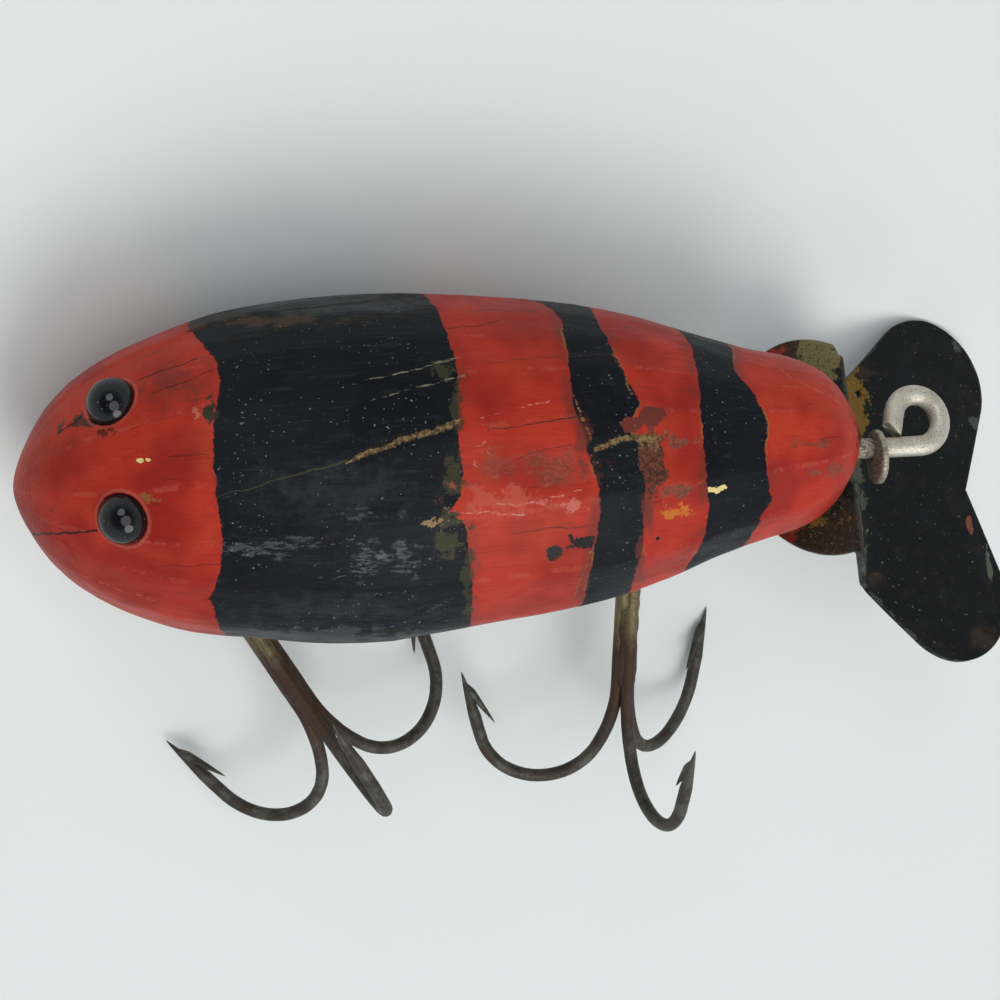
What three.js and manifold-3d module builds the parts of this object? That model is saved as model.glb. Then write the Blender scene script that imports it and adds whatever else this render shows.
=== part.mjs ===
// An old wooden fishing lure, lying as it was put down: a carved body with bead eyes, a bent sheet lip,
// a screw eye for the line and two treble hooks. Millimetres, +Z up, the nose towards +X.
import * as THREE from 'three';
import { mergeVertices } from 'three/addons/utils/BufferGeometryUtils.js';
import Module from 'manifold-3d';

const wasm = await Module();
wasm.setup();

// The lure is shaped in its swimming frame: x runs from the eyed end to the nose along the axis, y to the
// flank that it lies on, z to the back. Depths are measured down from the axis, towards the belly.
const gap = 0.3;

const wood = {
  length: 85,
  fullness: [13.6, 18.8, 19.3, 18.2, 16.3, 15.4, 14.2, 16.6, 11.9],
  sway: { reach: 20, eyedEnd: -0.35, nose: 0.45 },
  rings: 32,
  sides: 32,
};

const eye = { radius: 2.45, sunk: 0.5, along: [9.9, 10.4], turn: [21.5, -32] };

const lip = {
  thick: 0.9,
  skew: 2,
  topFold: { x: 85.3, depth: 4.4, side: 0.35, halfWidth: 10.8 },
  deepFold: { x: 88.6, depth: 12.94, side: -0.75, halfWidth: 11.6 },
  tongueSlope: 22,
  tongue: { back: 3.2, side: 1.4, halfLength: 9, halfWidth: 12, turn: 12.6 },
  bladeSlope: 20,
  lobe: { forward: 11.8, side: 11.9, radius: 7.7 },
  notchForward: 15.5,
  hole: { forward: 1.7, side: 10.3, radius: 0.45 },
};

const lipScrew = { back: 6, side: 5, headRadius: 1.9, headHeight: 1.0, shankRadius: 0.9, length: 7, slot: 0.6 };

const tie = {
  wireRadius: 1.05,
  ringHalfLength: 2.5,
  ringHalfWidth: 2.76,
  ringX: 92,
  side: -0.35,
  depth: 1.4,
  inWood: 12,
  step: 12,
  steps: 24,
};

const washer = { radius: 2.8, thick: 1.2, rim: 0.4, x: 87.2, side: -1.3 };

const hanger = { wireRadius: 0.58, ringRadius: 2.3, inWood: 9, below: 0.25 };

const treble = {
  wireRadius: 0.72,
  bundleRadius: 0.8,
  coreRadius: 0.5,
  eyeRadius: 2.3,
  link: 2.8,
  straight: 21.0,
  flareRadius: 16.2,
  flareTurn: 30,
  bendRadius: 7.1,
  bendTurn: 134.4,
  leg: 6.4,
  pointLength: 2.5,
  barbBack: 2.8,
  barbLength: 4.6,
  barbLean: 24,
  tailLength: 11,
  tailOffset: 1.42,
};

const trebles = [
  { name: 'lip_end', x: 64.6, hangerTurn: 0, heading: -0.6, dip: -3.4, spin: 167.8, fan: [0, 106, 231] },
  { name: 'eye_end', x: 16.2, hangerTurn: 30, heading: 29.9, dip: -17.6, spin: 32.2, fan: [0, 120, 249] },
];

// How it lies: rolled onto one flank, with the nose raised by the lip, on a flat trimmed off the flank
const rest = { roll: 44, pitch: 6.94, height: 13.42, spotX: 25.2 };

const finish = {
  paint: { color: 0x9c3327, roughness: 0.5, metalness: 0 },
  glass: { color: 0x0b0b0d, roughness: 0.08, metalness: 0 },
  sheet: { color: 0x14181c, roughness: 0.5, metalness: 0.3 },
  plated: { color: 0xaaa69a, roughness: 0.35, metalness: 0.9 },
  steel: { color: 0x4b4238, roughness: 0.5, metalness: 0.8 },
  brass: { color: 0x6f5f36, roughness: 0.5, metalness: 0.8 },
};

const radians = (degrees) => THREE.MathUtils.degToRad(degrees);
const sine = (degrees) => Math.sin(radians(degrees));
const cosine = (degrees) => Math.cos(radians(degrees));

// A geometry with its shared corners made one, and without the empty triangles at its poles
function weld(geometry) {
  geometry.deleteAttribute('normal');
  geometry.deleteAttribute('uv');
  const merged = mergeVertices(geometry, 1e-4);
  const corners = Array.from(merged.index.array);
  const triangles = [];
  for (let i = 0; i < corners.length; i += 3) {
    const [a, b, c] = corners.slice(i, i + 3);
    if (a !== b && b !== c && c !== a) triangles.push(a, b, c);
  }
  merged.setIndex(triangles);
  return merged;
}

// A welded geometry as a solid that can be joined and cut
function solid(geometry) {
  return new wasm.Manifold(new wasm.Mesh({
    numProp: 3,
    vertProperties: Float32Array.from(geometry.attributes.position.array),
    triVerts: Uint32Array.from(geometry.index.array),
  }));
}

const box = (...sizes) => weld(new THREE.BoxGeometry(...sizes));
const cylinder = (radius, height, sides) => weld(new THREE.CylinderGeometry(radius, radius, height, sides));
const lathe = (profile, sides) => weld(new THREE.LatheGeometry(profile, sides));
const ball = (radius) => weld(new THREE.SphereGeometry(radius, 16, 9));
const torus = (ring, radius, steps) => weld(new THREE.TorusGeometry(ring, radius, 8, steps));
const extrusion = (outline, options) => weld(new THREE.ExtrudeGeometry(outline, options));

function geometryOf(shape) {
  const mesh = shape.getMesh();
  const geometry = new THREE.BufferGeometry();
  geometry.setAttribute('position', new THREE.BufferAttribute(mesh.vertProperties, 3));
  geometry.setIndex(new THREE.BufferAttribute(mesh.triVerts, 1));
  geometry.computeVertexNormals();
  return geometry;
}

const join = (shapes) => shapes.reduce((whole, shape) => whole.add(shape));

function piece(name, geometry, look) {
  const mesh = new THREE.Mesh(geometry, new THREE.MeshStandardMaterial(look));
  mesh.name = name;
  return mesh;
}

// A path that is stepped at the given points themselves, so a straight stretch is one step
class SteppedPath extends THREE.Curve {
  constructor(points) {
    super();
    this.points = points;
  }

  getPointAt(u, target = new THREE.Vector3()) {
    return target.copy(this.points[Math.round(u * (this.points.length - 1))]);
  }

  getTangentAt(u, target = new THREE.Vector3()) {
    const last = this.points.length - 1;
    const here = Math.round(u * last);
    const before = this.points[Math.max(here - 1, 0)];
    const after = this.points[Math.min(here + 1, last)];
    const arriving = here > 0 ? this.points[here].clone().sub(before).normalize() : new THREE.Vector3();
    const leaving = here < last ? after.clone().sub(this.points[here]).normalize() : new THREE.Vector3();
    return target.copy(arriving.add(leaving)).normalize();
  }
}

// The corners of a round section, with flats on its four main sides
function roundCorners(x, y, radius, sides) {
  return Array.from({ length: sides }, (_, i) => {
    const angle = ((i + 0.5) * 2 * Math.PI) / sides;
    return new THREE.Vector2(x + radius * Math.cos(angle), y + radius * Math.sin(angle));
  });
}

function wire(points, radius, sides) {
  const section = new THREE.Shape(roundCorners(0, 0, radius, sides));
  const options = { steps: points.length - 1, bevelEnabled: false, extrudePath: new SteppedPath(points) };
  return extrusion(section, options);
}

// The body's radius at a station angle, which runs from 0 at the eyed tip to pi at the nose tip
function woodRadiusAt(angle) {
  const values = wood.fullness;
  const last = values.length - 1;
  const place = (angle / Math.PI) * last;
  const i = Math.min(Math.floor(place), last - 1);
  const w = place - i;
  const before = values[i > 0 ? i - 1 : 1];
  const after = values[i + 2 <= last ? i + 2 : last - 1];
  const linear = (values[i + 1] - before) * w;
  const square = (2 * before - 5 * values[i] + 4 * values[i + 1] - after) * w * w;
  const cube = (3 * values[i] - before - 3 * values[i + 1] + after) * w * w * w;
  return Math.sin(angle) * (values[i] + 0.5 * (linear + square + cube));
}

const woodRadius = (x) => woodRadiusAt(Math.acos(1 - (2 * x) / wood.length));

// How far the whittled ends wander sideways from the axis
function woodSway(x) {
  const { reach, eyedEnd, nose } = wood.sway;
  const atEyedEnd = Math.max(1 - x / reach, 0);
  const atNose = Math.max(1 - (wood.length - x) / reach, 0);
  return eyedEnd * atEyedEnd + nose * atNose;
}

// A point on the body's surface: along the axis, and turned from the back towards +y
function onWood(x, turn, raised) {
  const radius = woodRadius(x) + raised;
  return new THREE.Vector3(x, woodSway(x) + radius * sine(turn), radius * cosine(turn));
}

function woodBlank() {
  const profile = Array.from({ length: wood.rings + 1 }, (_, i) => {
    const angle = (i * Math.PI) / wood.rings;
    const radius = i === 0 || i === wood.rings ? 0 : woodRadiusAt(angle);
    return new THREE.Vector2(radius, 0.5 * wood.length * (1 - Math.cos(angle)));
  });
  const blank = lathe(profile, wood.sides).rotateZ(-Math.PI / 2);
  const places = blank.attributes.position;
  for (let i = 0; i < places.count; i += 1) {
    places.setY(i, places.getY(i) + woodSway(places.getX(i)));
  }
  return blank;
}

const eyePlaces = eye.along.map((x, i) => onWood(x, eye.turn[i], -eye.sunk));

// The lip's frame: each of its three plates starts at a fold, u forward along it and v to the side
function foldPoint(fold, slope) {
  const half = 0.5 * lip.thick;
  return new THREE.Vector3(fold.x - half * sine(slope), fold.side, -fold.depth - half * cosine(slope));
}

const topFold = foldPoint(lip.topFold, -lip.tongueSlope);
const deepFold = foldPoint(lip.deepFold, lip.bladeSlope);

// The whole lip is bent up a little askew: turned about the upright through its top fold
function askew(shape) {
  return shape.translate(-lip.topFold.x, 0, 0).rotateZ(radians(-lip.skew)).translate(lip.topFold.x, 0, 0);
}

function plate(outline, slope, start, curveSegments) {
  const options = { depth: lip.thick, bevelEnabled: false, curveSegments };
  const flat = extrusion(outline, options).translate(0, 0, -0.5 * lip.thick);
  return askew(flat.rotateY(radians(slope)).translate(start.x, 0, start.z));
}

const screwSides = [lip.topFold.side + lipScrew.side, lip.topFold.side - lipScrew.side];

// The tongue: an oval turned a little, cut off at the fold
function tongueOutline() {
  const { back, side: middle, halfLength, halfWidth, turn } = lip.tongue;
  const rim = new THREE.EllipseCurve(
    -back, middle, halfLength, halfWidth, 0, 2 * Math.PI, false, radians(turn),
  ).getPoints(56);
  const outline = new THREE.Shape([
    new THREE.Vector2(0, lip.topFold.side + lip.topFold.halfWidth),
    ...rim.filter((point) => point.x < -0.5 * lip.thick),
    new THREE.Vector2(0, lip.topFold.side - lip.topFold.halfWidth),
  ]);
  const bore = lipScrew.shankRadius + gap;
  screwSides.forEach((side) => {
    outline.holes.push(new THREE.Path(roundCorners(-lipScrew.back, side, bore, 12)));
  });
  return outline;
}

function wallOutline(length) {
  const { topFold: top, deepFold: deep } = lip;
  return new THREE.Shape([
    new THREE.Vector2(0, top.side - top.halfWidth),
    new THREE.Vector2(length, deep.side - deep.halfWidth),
    new THREE.Vector2(length, deep.side + deep.halfWidth),
    new THREE.Vector2(0, top.side + top.halfWidth),
  ]);
}

// The angle on a circle where the line from an outside point touches it
function touchAngle(point, centre, radius, way) {
  const out = point.clone().sub(centre);
  return Math.atan2(out.y, out.x) + way * Math.acos(radius / out.length());
}

// The blade: two round lobes with straight edges back to the fold and to the notch between them
function bladeOutline() {
  const { deepFold: fold, lobe } = lip;
  const outline = new THREE.Shape().moveTo(0, fold.side).lineTo(0, fold.side + fold.halfWidth);
  const notch = new THREE.Vector2(lip.notchForward, fold.side);
  for (const way of [1, -1]) {
    const centre = new THREE.Vector2(lobe.forward, fold.side + way * lobe.side);
    const corner = new THREE.Vector2(0, fold.side + way * fold.halfWidth);
    const atCorner = touchAngle(corner, centre, lobe.radius, -way);
    const atNotch = touchAngle(notch, centre, lobe.radius, way);
    const [from, to] = way > 0 ? [atCorner, atNotch] : [atNotch, atCorner];
    outline.absarc(centre.x, centre.y, lobe.radius, from, to, true);
    outline.lineTo(way > 0 ? notch.x : corner.x, way > 0 ? notch.y : corner.y);
  }
  const { forward, side, radius: bore } = lip.hole;
  outline.holes.push(new THREE.Path(roundCorners(forward, fold.side + side, bore, 8)));
  return outline;
}

function foldRound(fold, at) {
  return askew(cylinder(0.5 * lip.thick, 2 * fold.halfWidth, 12).translate(at.x, fold.side, at.z));
}

function lipSheet() {
  const wall = new THREE.Vector2(deepFold.x - topFold.x, topFold.z - deepFold.z);
  const wallSlope = THREE.MathUtils.radToDeg(Math.atan2(wall.y, wall.x));
  return join([
    solid(plate(tongueOutline(), -lip.tongueSlope, topFold, 40)),
    solid(plate(wallOutline(wall.length()), wallSlope, topFold, 1)),
    solid(plate(bladeOutline(), lip.bladeSlope, deepFold, 20)),
    solid(foldRound(lip.topFold, topFold)),
    solid(foldRound(lip.deepFold, deepFold)),
  ]);
}

// Everything under the flat that the tongue is screwed to
function seatCut() {
  const size = 60;
  const under = box(size, size, size).translate(0, 0, -0.5 * size + gap);
  return askew(under.rotateY(radians(-lip.tongueSlope)).translate(lip.topFold.x, 0, -lip.topFold.depth));
}

// A screw through the tongue, drawn from its head down at z = 0 on the tongue's far face
function lipScrewSolid() {
  const { headRadius, headHeight, shankRadius, length, slot } = lipScrew;
  const dome = Array.from({ length: 6 }, (_, i) => {
    const angle = (i * Math.PI) / 10;
    return new THREE.Vector2(headRadius * Math.cos(angle), -headHeight * Math.sin(angle));
  });
  dome[dome.length - 1].x = 0;
  const head = lathe([new THREE.Vector2(0, 0), ...dome].reverse(), 16).rotateX(Math.PI / 2);
  const shank = cylinder(shankRadius, length + 0.5 * headHeight, 12)
    .rotateX(Math.PI / 2)
    .translate(0, 0, 0.5 * (length - 0.5 * headHeight));
  const slit = box(3 * headRadius, slot, headHeight).translate(0, 0, -headHeight);
  return solid(head).add(solid(shank)).subtract(solid(slit));
}

function inTongue(shape, side) {
  const raised = shape.translate(-lipScrew.back, 0, -0.5 * lip.thick - gap);
  return askew(raised.rotateY(radians(-lip.tongueSlope)).translate(topFold.x, side, topFold.z));
}

function screwHole(side) {
  const length = lipScrew.length + gap;
  const drill = cylinder(lipScrew.shankRadius + gap, length, 12)
    .rotateX(Math.PI / 2)
    .translate(0, 0, 0.5 * length);
  return inTongue(drill, side);
}

// The screw eye on the nose: a shank along the axis, turned up into an open ring
function tiePath() {
  const { ringHalfLength, ringHalfWidth, ringX, side, depth, step, steps, inWood } = tie;
  const points = [new THREE.Vector3(wood.length - inWood, side, -depth)];
  for (let i = 0; i <= steps; i += 1) {
    const angle = -90 + step * i;
    const y = side + ringHalfWidth * (1 + sine(angle));
    points.push(new THREE.Vector3(ringX + ringHalfLength * cosine(angle), y, -depth));
  }
  return points;
}

function tieHole() {
  return cylinder(tie.wireRadius + gap, 2 * (tie.inWood + gap), 12)
    .rotateZ(Math.PI / 2)
    .translate(wood.length, tie.side, -tie.depth);
}

// A thick washer, thinner at its rim, whose hole is off its centre
function washerSolid() {
  const { radius, thick, rim, side } = washer;
  const profile = [[0, -thick / 2], [0.6 * radius, -thick / 2], [radius, -rim / 2]];
  const mirrored = profile.map(([r, y]) => [r, -y]).reverse();
  const outline = [...profile, ...mirrored].map(([r, y]) => new THREE.Vector2(r, y));
  const drill = cylinder(tie.wireRadius + gap, 2 * thick, 16).translate(tie.side - side, 0, 0);
  return solid(lathe(outline, 20)).subtract(solid(drill));
}

// The screw eye that a treble hangs on: its ring is sunk a little into the belly
function hangerSolid(wireRadius, ringSides) {
  const { ringRadius, inWood } = hanger;
  const ring = torus(ringRadius, wireRadius, ringSides);
  const shank = cylinder(wireRadius, inWood, 8).translate(0, ringRadius + 0.5 * inWood, 0);
  const shape = solid(ring).add(solid(shank));
  return geometryOf(shape).rotateX(Math.PI / 2);
}

const hangerDepth = (x) => woodRadius(x) + hanger.below + hanger.ringRadius;

function placeHanger(shape, spot) {
  return shape.rotateZ(radians(spot.hangerTurn + 90)).translate(spot.x, 0, -hangerDepth(spot.x));
}

// One hook of a treble, in its own plane: distance out from the shank's axis and distance down from the eye
function hookPath() {
  const { bundleRadius, straight, flareRadius, flareTurn, bendRadius, bendTurn, leg, eyeRadius } = treble;
  const path = [[bundleRadius, eyeRadius], [bundleRadius, straight]];
  const curve = (radius, from, turn, steps) => {
    const [out, down] = path[path.length - 1];
    for (let i = 1; i <= steps; i += 1) {
      const angle = from + (turn * i) / steps;
      const x = out + radius * (cosine(from) - cosine(angle));
      path.push([x, down + radius * (sine(angle) - sine(from))]);
    }
  };
  curve(flareRadius, 0, flareTurn, 4);
  curve(bendRadius, flareTurn, bendTurn, 12);
  const [out, down] = path[path.length - 1];
  const heading = flareTurn + bendTurn;
  path.push([out + leg * sine(heading), down + leg * cosine(heading)]);
  return path.map(([x, y]) => new THREE.Vector3(x, 0, -y));
}

function cone(radius, length, sides, base, direction) {
  const turn = new THREE.Quaternion().setFromUnitVectors(new THREE.Vector3(0, 1, 0), direction);
  return weld(new THREE.ConeGeometry(radius, length, sides))
    .translate(0, 0.5 * length, 0)
    .applyQuaternion(turn)
    .translate(base.x, base.y, base.z);
}

// A hook with its sharpened point and the barb that stands off its inner side
function hookSolids() {
  const { wireRadius, pointLength, barbBack, barbLength, barbLean } = treble;
  const path = hookPath();
  const end = path[path.length - 1];
  const forward = end.clone().sub(path[path.length - 2]).normalize();
  const point = cone(wireRadius, pointLength + gap, 8, end.clone().addScaledVector(forward, -gap), forward);
  const barbTip = forward.clone().negate().applyAxisAngle(new THREE.Vector3(0, 1, 0), radians(barbLean));
  const barbRoot = end.clone().addScaledVector(forward, pointLength - barbBack);
  const barb = cone(0.8 * wireRadius, barbLength, 6, barbRoot, barbTip);
  return [wire(path, wireRadius, 8), point, barb];
}

// A treble: three hooks soldered back to back, not quite evenly, with one wire turned into the eye
function trebleSolid(fan) {
  const { wireRadius, coreRadius, eyeRadius, straight, tailLength, tailOffset } = treble;
  const parts = [];
  for (const turn of fan) {
    hookSolids().forEach((shape) => parts.push(shape.rotateZ(radians(turn))));
  }
  const core = straight - eyeRadius;
  parts.push(cylinder(coreRadius, core, 6)
    .rotateX(Math.PI / 2)
    .translate(0, 0, -eyeRadius - 0.5 * core));
  parts.push(torus(eyeRadius, wireRadius, 18).rotateX(Math.PI / 2));
  const tail = [new THREE.Vector3(tailOffset, 0, -1.2 * eyeRadius), new THREE.Vector3(tailOffset, 0, -tailLength)];
  parts.push(wire(tail, wireRadius, 8).rotateZ(radians(0.5 * fan[1])));
  return join(parts.map(solid));
}

// From the swimming frame to how the lure lies, with the middle of its flat spot at the origin
function lyingMatrix() {
  const { roll, pitch, height, spotX } = rest;
  const up = new THREE.Vector3(sine(pitch), -cosine(pitch) * sine(roll), cosine(pitch) * cosine(roll));
  const below = (height + up.x * spotX) / (up.y ** 2 + up.z ** 2);
  const turned = new THREE.Matrix4().makeRotationY(radians(-pitch))
    .multiply(new THREE.Matrix4().makeRotationX(radians(-roll)));
  return turned.multiply(new THREE.Matrix4().makeTranslation(-spotX, below * up.y, below * up.z));
}

const lying = lyingMatrix();

// The slab below the surface that the lure lies on, in the swimming frame
function underSurface() {
  const size = 200;
  return box(size, size, 20).translate(0, 0, -10).applyMatrix4(lying.clone().invert());
}

function bodySolid() {
  const cuts = [
    seatCut(),
    tieHole(),
    underSurface(),
    ...screwSides.map(screwHole),
    ...eyePlaces.map((place) => ball(eye.radius + gap).translate(place.x, place.y, place.z)),
    ...trebles.map((spot) => placeHanger(hangerSolid(hanger.wireRadius + gap, 24), spot)),
  ];
  return cuts.reduce((whole, cut) => whole.subtract(solid(cut)), solid(woodBlank()));
}

// The pieces that are shaped in the swimming frame
function shapedPieces() {
  const group = new THREE.Group();
  group.add(piece('body', geometryOf(bodySolid()), finish.paint));
  eyePlaces.forEach((place, i) => {
    const bead = piece(`eye_${['left', 'right'][i]}`, ball(eye.radius), finish.glass);
    bead.position.copy(place);
    group.add(bead);
  });
  group.add(piece('lip', geometryOf(lipSheet()), finish.sheet));
  screwSides.forEach((side, i) => {
    const screw = inTongue(geometryOf(lipScrewSolid()), side);
    group.add(piece(`lip_screw_${['left', 'right'][i]}`, screw, finish.brass));
  });
  group.add(piece('line_tie', wire(tiePath(), tie.wireRadius, 12), finish.plated));
  const disc = piece('line_tie_washer', geometryOf(washerSolid()), finish.plated);
  disc.rotation.z = Math.PI / 2;
  disc.position.set(washer.x, washer.side, -tie.depth);
  group.add(disc);
  trebles.forEach((spot) => {
    const ring = placeHanger(hangerSolid(hanger.wireRadius, 18), spot);
    group.add(piece(`hook_hanger_${spot.name}`, ring, finish.brass));
  });
  return group;
}

// A treble lies away from its hanger: heading on the surface, dipped towards it, and turned on its shank
function trebleGroup(spot) {
  const group = new THREE.Group();
  const away = new THREE.Vector3(
    cosine(spot.dip) * sine(spot.heading),
    -cosine(spot.dip) * cosine(spot.heading),
    -sine(spot.dip),
  );
  group.position.set(spot.x, 0, -hangerDepth(spot.x)).applyMatrix4(lying).addScaledVector(away, treble.link);
  group.rotation.set(radians(spot.dip - 90), 0, radians(spot.heading), 'ZXY');
  const hooks = piece(`treble_hook_${spot.name}`, geometryOf(trebleSolid(spot.fan)), finish.steel);
  hooks.rotation.z = radians(spot.spin);
  group.add(hooks);
  return group;
}

const lure = new THREE.Group();
const shaped = shapedPieces();
shaped.applyMatrix4(lying);
lure.add(shaped);
trebles.forEach((spot) => lure.add(trebleGroup(spot)));

export default lure;
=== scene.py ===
import bpy
import numpy as np
from mathutils import Matrix


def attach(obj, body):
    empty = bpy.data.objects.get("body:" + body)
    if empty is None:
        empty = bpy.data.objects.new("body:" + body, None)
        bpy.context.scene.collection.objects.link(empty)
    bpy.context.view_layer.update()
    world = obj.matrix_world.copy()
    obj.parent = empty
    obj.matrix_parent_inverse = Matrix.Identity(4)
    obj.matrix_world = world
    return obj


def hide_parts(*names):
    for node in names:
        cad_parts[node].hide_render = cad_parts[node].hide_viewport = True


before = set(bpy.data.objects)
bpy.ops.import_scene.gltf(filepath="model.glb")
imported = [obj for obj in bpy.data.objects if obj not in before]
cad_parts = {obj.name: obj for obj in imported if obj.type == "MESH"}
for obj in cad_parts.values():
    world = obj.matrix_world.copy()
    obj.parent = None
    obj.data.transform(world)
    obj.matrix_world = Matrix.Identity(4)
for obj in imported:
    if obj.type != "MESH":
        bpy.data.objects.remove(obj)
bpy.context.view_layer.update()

print('frame loaded:', len(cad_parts), 'nodes')

metresPerMm = 0.001
xAxis, yAxis, zAxis = np.eye(3)

# How the lure lies: rolled onto one flank, with its nose raised by the lip. height is how far above the
# surface its axis is at the eyed end
lying = {'roll': 44, 'pitch': 6.94, 'height': 13.42, 'spotAlong': 25.2}


def unit(vectors):
    return vectors / np.maximum(np.linalg.norm(vectors, axis=-1, keepdims=True), 1e-12)


def turnAbout(axis, degrees):
    return np.array(Matrix.Rotation(np.radians(degrees), 3, axis))


lyingTurn = turnAbout('Y', -lying['pitch']) @ turnAbout('X', -lying['roll'])

# The photo's view, given in the swimming frame; clip is in metres
camera = {'aim': (47.206, -4.081, 0), 'turn': -9.5, 'lean': 15, 'roll': -3.128, 'distance': 220,
          'lens': 79.753, 'sensor': 36, 'clip': (0.01, 20)}


def cameraAxes():
    turn, lean, roll = (np.radians(camera[key]) for key in ('turn', 'lean', 'roll'))
    back = np.array([np.sin(turn), -np.cos(turn) * np.sin(lean), np.cos(turn) * np.cos(lean)])
    right = unit(xAxis - back[0] * back)
    up = np.cross(back, right)
    return np.cos(roll) * right + np.sin(roll) * up, np.cos(roll) * up - np.sin(roll) * right, back


sight = {'span': 100, 'farSide': 20}


# Where a point is seen in the photo's view: across and down, with span units to the picture (about 1 mm
# each), and how far round the hidden side it lies, from 0 to farSide
def sightOf(points, outward):
    right, up, back = cameraAxes()
    away = points - np.array(camera['aim']) - camera['distance'] * back
    scale = camera['lens'] / camera['sensor'] * sight['span'] / -(away @ back)
    hidden = sight['farSide'] * np.maximum((outward * unit(away)).sum(axis=-1), 0)
    middle = 0.5 * sight['span']
    return np.stack([middle + scale * (away @ right), middle - scale * (away @ up), hidden], -1)


# The swimming-frame point that comes to the origin: on the surface, straight below the axis at the flat spot
def spotPlace():
    up = lyingTurn[2]
    below = (lying['height'] + up[0] * lying['spotAlong']) / (up[1] ** 2 + up[2] ** 2)
    return np.array([lying['spotAlong'], -below * up[1], -below * up[2]])


def toFrame(points):
    return (points - spotPlace()) @ lyingTurn.T * metresPerMm


# A smooth step from 0 at low to 1 at high
def smoothStep(low, high, value):
    t = np.clip((value - low) / (high - low), 0, 1)
    return t * t * (3 - 2 * t)


noiseCells = 48
noiseTable = np.random.default_rng(7).random((noiseCells, noiseCells, noiseCells))


# Random values on a lattice with the given cell size, blended smoothly between its corners, from -1 to 1
def smoothNoise(points, size):
    place = points / np.asarray(size, float)
    cell = np.floor(place).astype(int)
    part = place - cell
    part = part * part * (3 - 2 * part)
    total = np.zeros(points.shape[:-1])
    for corner in np.ndindex(2, 2, 2):
        i = (cell + corner) % noiseCells
        weight = np.where(corner, part, 1 - part).prod(axis=-1)
        total += weight * noiseTable[i[..., 0], i[..., 1], i[..., 2]]
    return 2 * total - 1


# Meshes: a part is a dictionary of points, faces and values per point; parts are joined into one piece

# The four corners of every cell of a grid of points; closed joins its last column to its first
def cells(rows, columns, closed=True, closedRows=False):
    i, j = np.meshgrid(np.arange(rows if closedRows else rows - 1),
                       np.arange(columns if closed else columns - 1), indexing='ij')
    i2, j2 = (i + 1) % rows, (j + 1) % columns
    corners = [i * columns + j, i * columns + j2, i2 * columns + j2, i2 * columns + j]
    return np.stack(corners, -1).reshape(-1, 4)


# A grid of rings, closed at both ends by a fan to a pole; values are one array per name, a row per ring
def ringPart(rings, poles, **values):
    rows, columns = rings.shape[:2]
    count = rows * columns
    j = np.arange(columns)
    first = np.stack([np.full(columns, count), (j + 1) % columns, j], -1)
    last = (rows - 1) * columns + np.stack([j, (j + 1) % columns, np.full(columns, columns + 1)], -1)
    carried = {}
    for name, value in values.items():
        ends = [value[:1].mean(axis=1), value[-1:].mean(axis=1)]
        carried[name] = np.concatenate([value.reshape(-1, value.shape[-1]), *ends])
    return {'points': np.concatenate([rings.reshape(-1, 3), poles]),
            'faces': cells(rows, columns).tolist() + first.tolist() + last.tolist(), **carried}


# Six times the volume inside a mesh, from the corners of its faces
def insideVolume(points, faces):
    total = 0
    for size in (3, 4):
        some = np.array([face for face in faces if len(face) == size])
        for k in range(1, size - 1 if len(some) else 0):
            a, b, c = points[some[:, 0]], points[some[:, k]], points[some[:, k + 1]]
            total += (a * np.cross(b, c)).sum()
    return total


# One piece from its parts, each turned right side out. The attribute swim is each point's place in the
# swimming frame
def makePiece(name, parts, material, node):
    points, faces, values, start = [], [], {}, 0
    for part in parts:
        corners = part['faces']
        if insideVolume(part['points'], corners) < 0:
            corners = [face[::-1] for face in corners]
        faces += [[start + k for k in face] for face in corners]
        points.append(part['points'])
        start += len(part['points'])
        for key, value in part.items():
            if key not in ('points', 'faces'):
                values.setdefault(key, []).append(value)
    swimming = np.concatenate(points)
    placed = toFrame(swimming)
    placed[:, 2] = np.maximum(placed[:, 2], 0)      # nothing is below the surface it lies on
    mesh = bpy.data.meshes.new(name)
    mesh.from_pydata(placed.tolist(), [], faces)
    mesh.polygons.foreach_set('use_smooth', np.ones(len(mesh.polygons), bool))
    values['swim'] = [swimming]
    for key, value in values.items():
        layer = mesh.attributes.new(key, 'FLOAT_VECTOR', 'POINT')
        layer.data.foreach_set('vector', np.concatenate(value).astype(np.float32).ravel())
    mesh.materials.append(material)
    piece = bpy.data.objects.new(name, mesh)
    bpy.context.scene.collection.objects.link(piece)
    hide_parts(node)
    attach(piece, 'root')
    print('piece', name, len(mesh.vertices), 'points')
    return piece


# A wire along a flat path: each ring is the path's point + radius * cos a * side + across * sin a * normal
def sweep(path, normal, radius, sides, across=None):
    side = unit(np.cross(normal, unit(np.gradient(path, axis=0))))
    angle = np.linspace(0, 2 * np.pi, sides, endpoint=False)[None, :, None]
    radius = np.broadcast_to(radius, len(path))[:, None, None]
    across = radius if across is None else np.broadcast_to(across, len(path))[:, None, None]
    return path[:, None] + radius * np.cos(angle) * side[:, None] + across * np.sin(angle) * normal


# Rings drawn in or out around the path by a noise, for wire that isn't quite even
def roughened(rings, path, rough, size):
    centre = path[:, None]
    return centre + (rings - centre) * (1 + rough * smoothNoise(rings, size)[..., None])


# Shader graphs: add makes a node, with its inputs set or linked by name or number
def nodeMaker(tree):
    def add(kind, inputs=None, **settings):
        node = tree.nodes.new('ShaderNode' + kind)
        for key, value in settings.items():
            setattr(node, key, value)
        for key, value in (inputs or {}).items():
            if isinstance(value, bpy.types.NodeSocket):
                tree.links.new(value, node.inputs[key])
            else:
                node.inputs[key].default_value = value
        return node
    return add


def mathOf(add):
    def calc(operation, *given, clamp=False):
        return add('Math', dict(enumerate(given)), operation=operation, use_clamp=clamp).outputs[0]
    return calc


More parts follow.
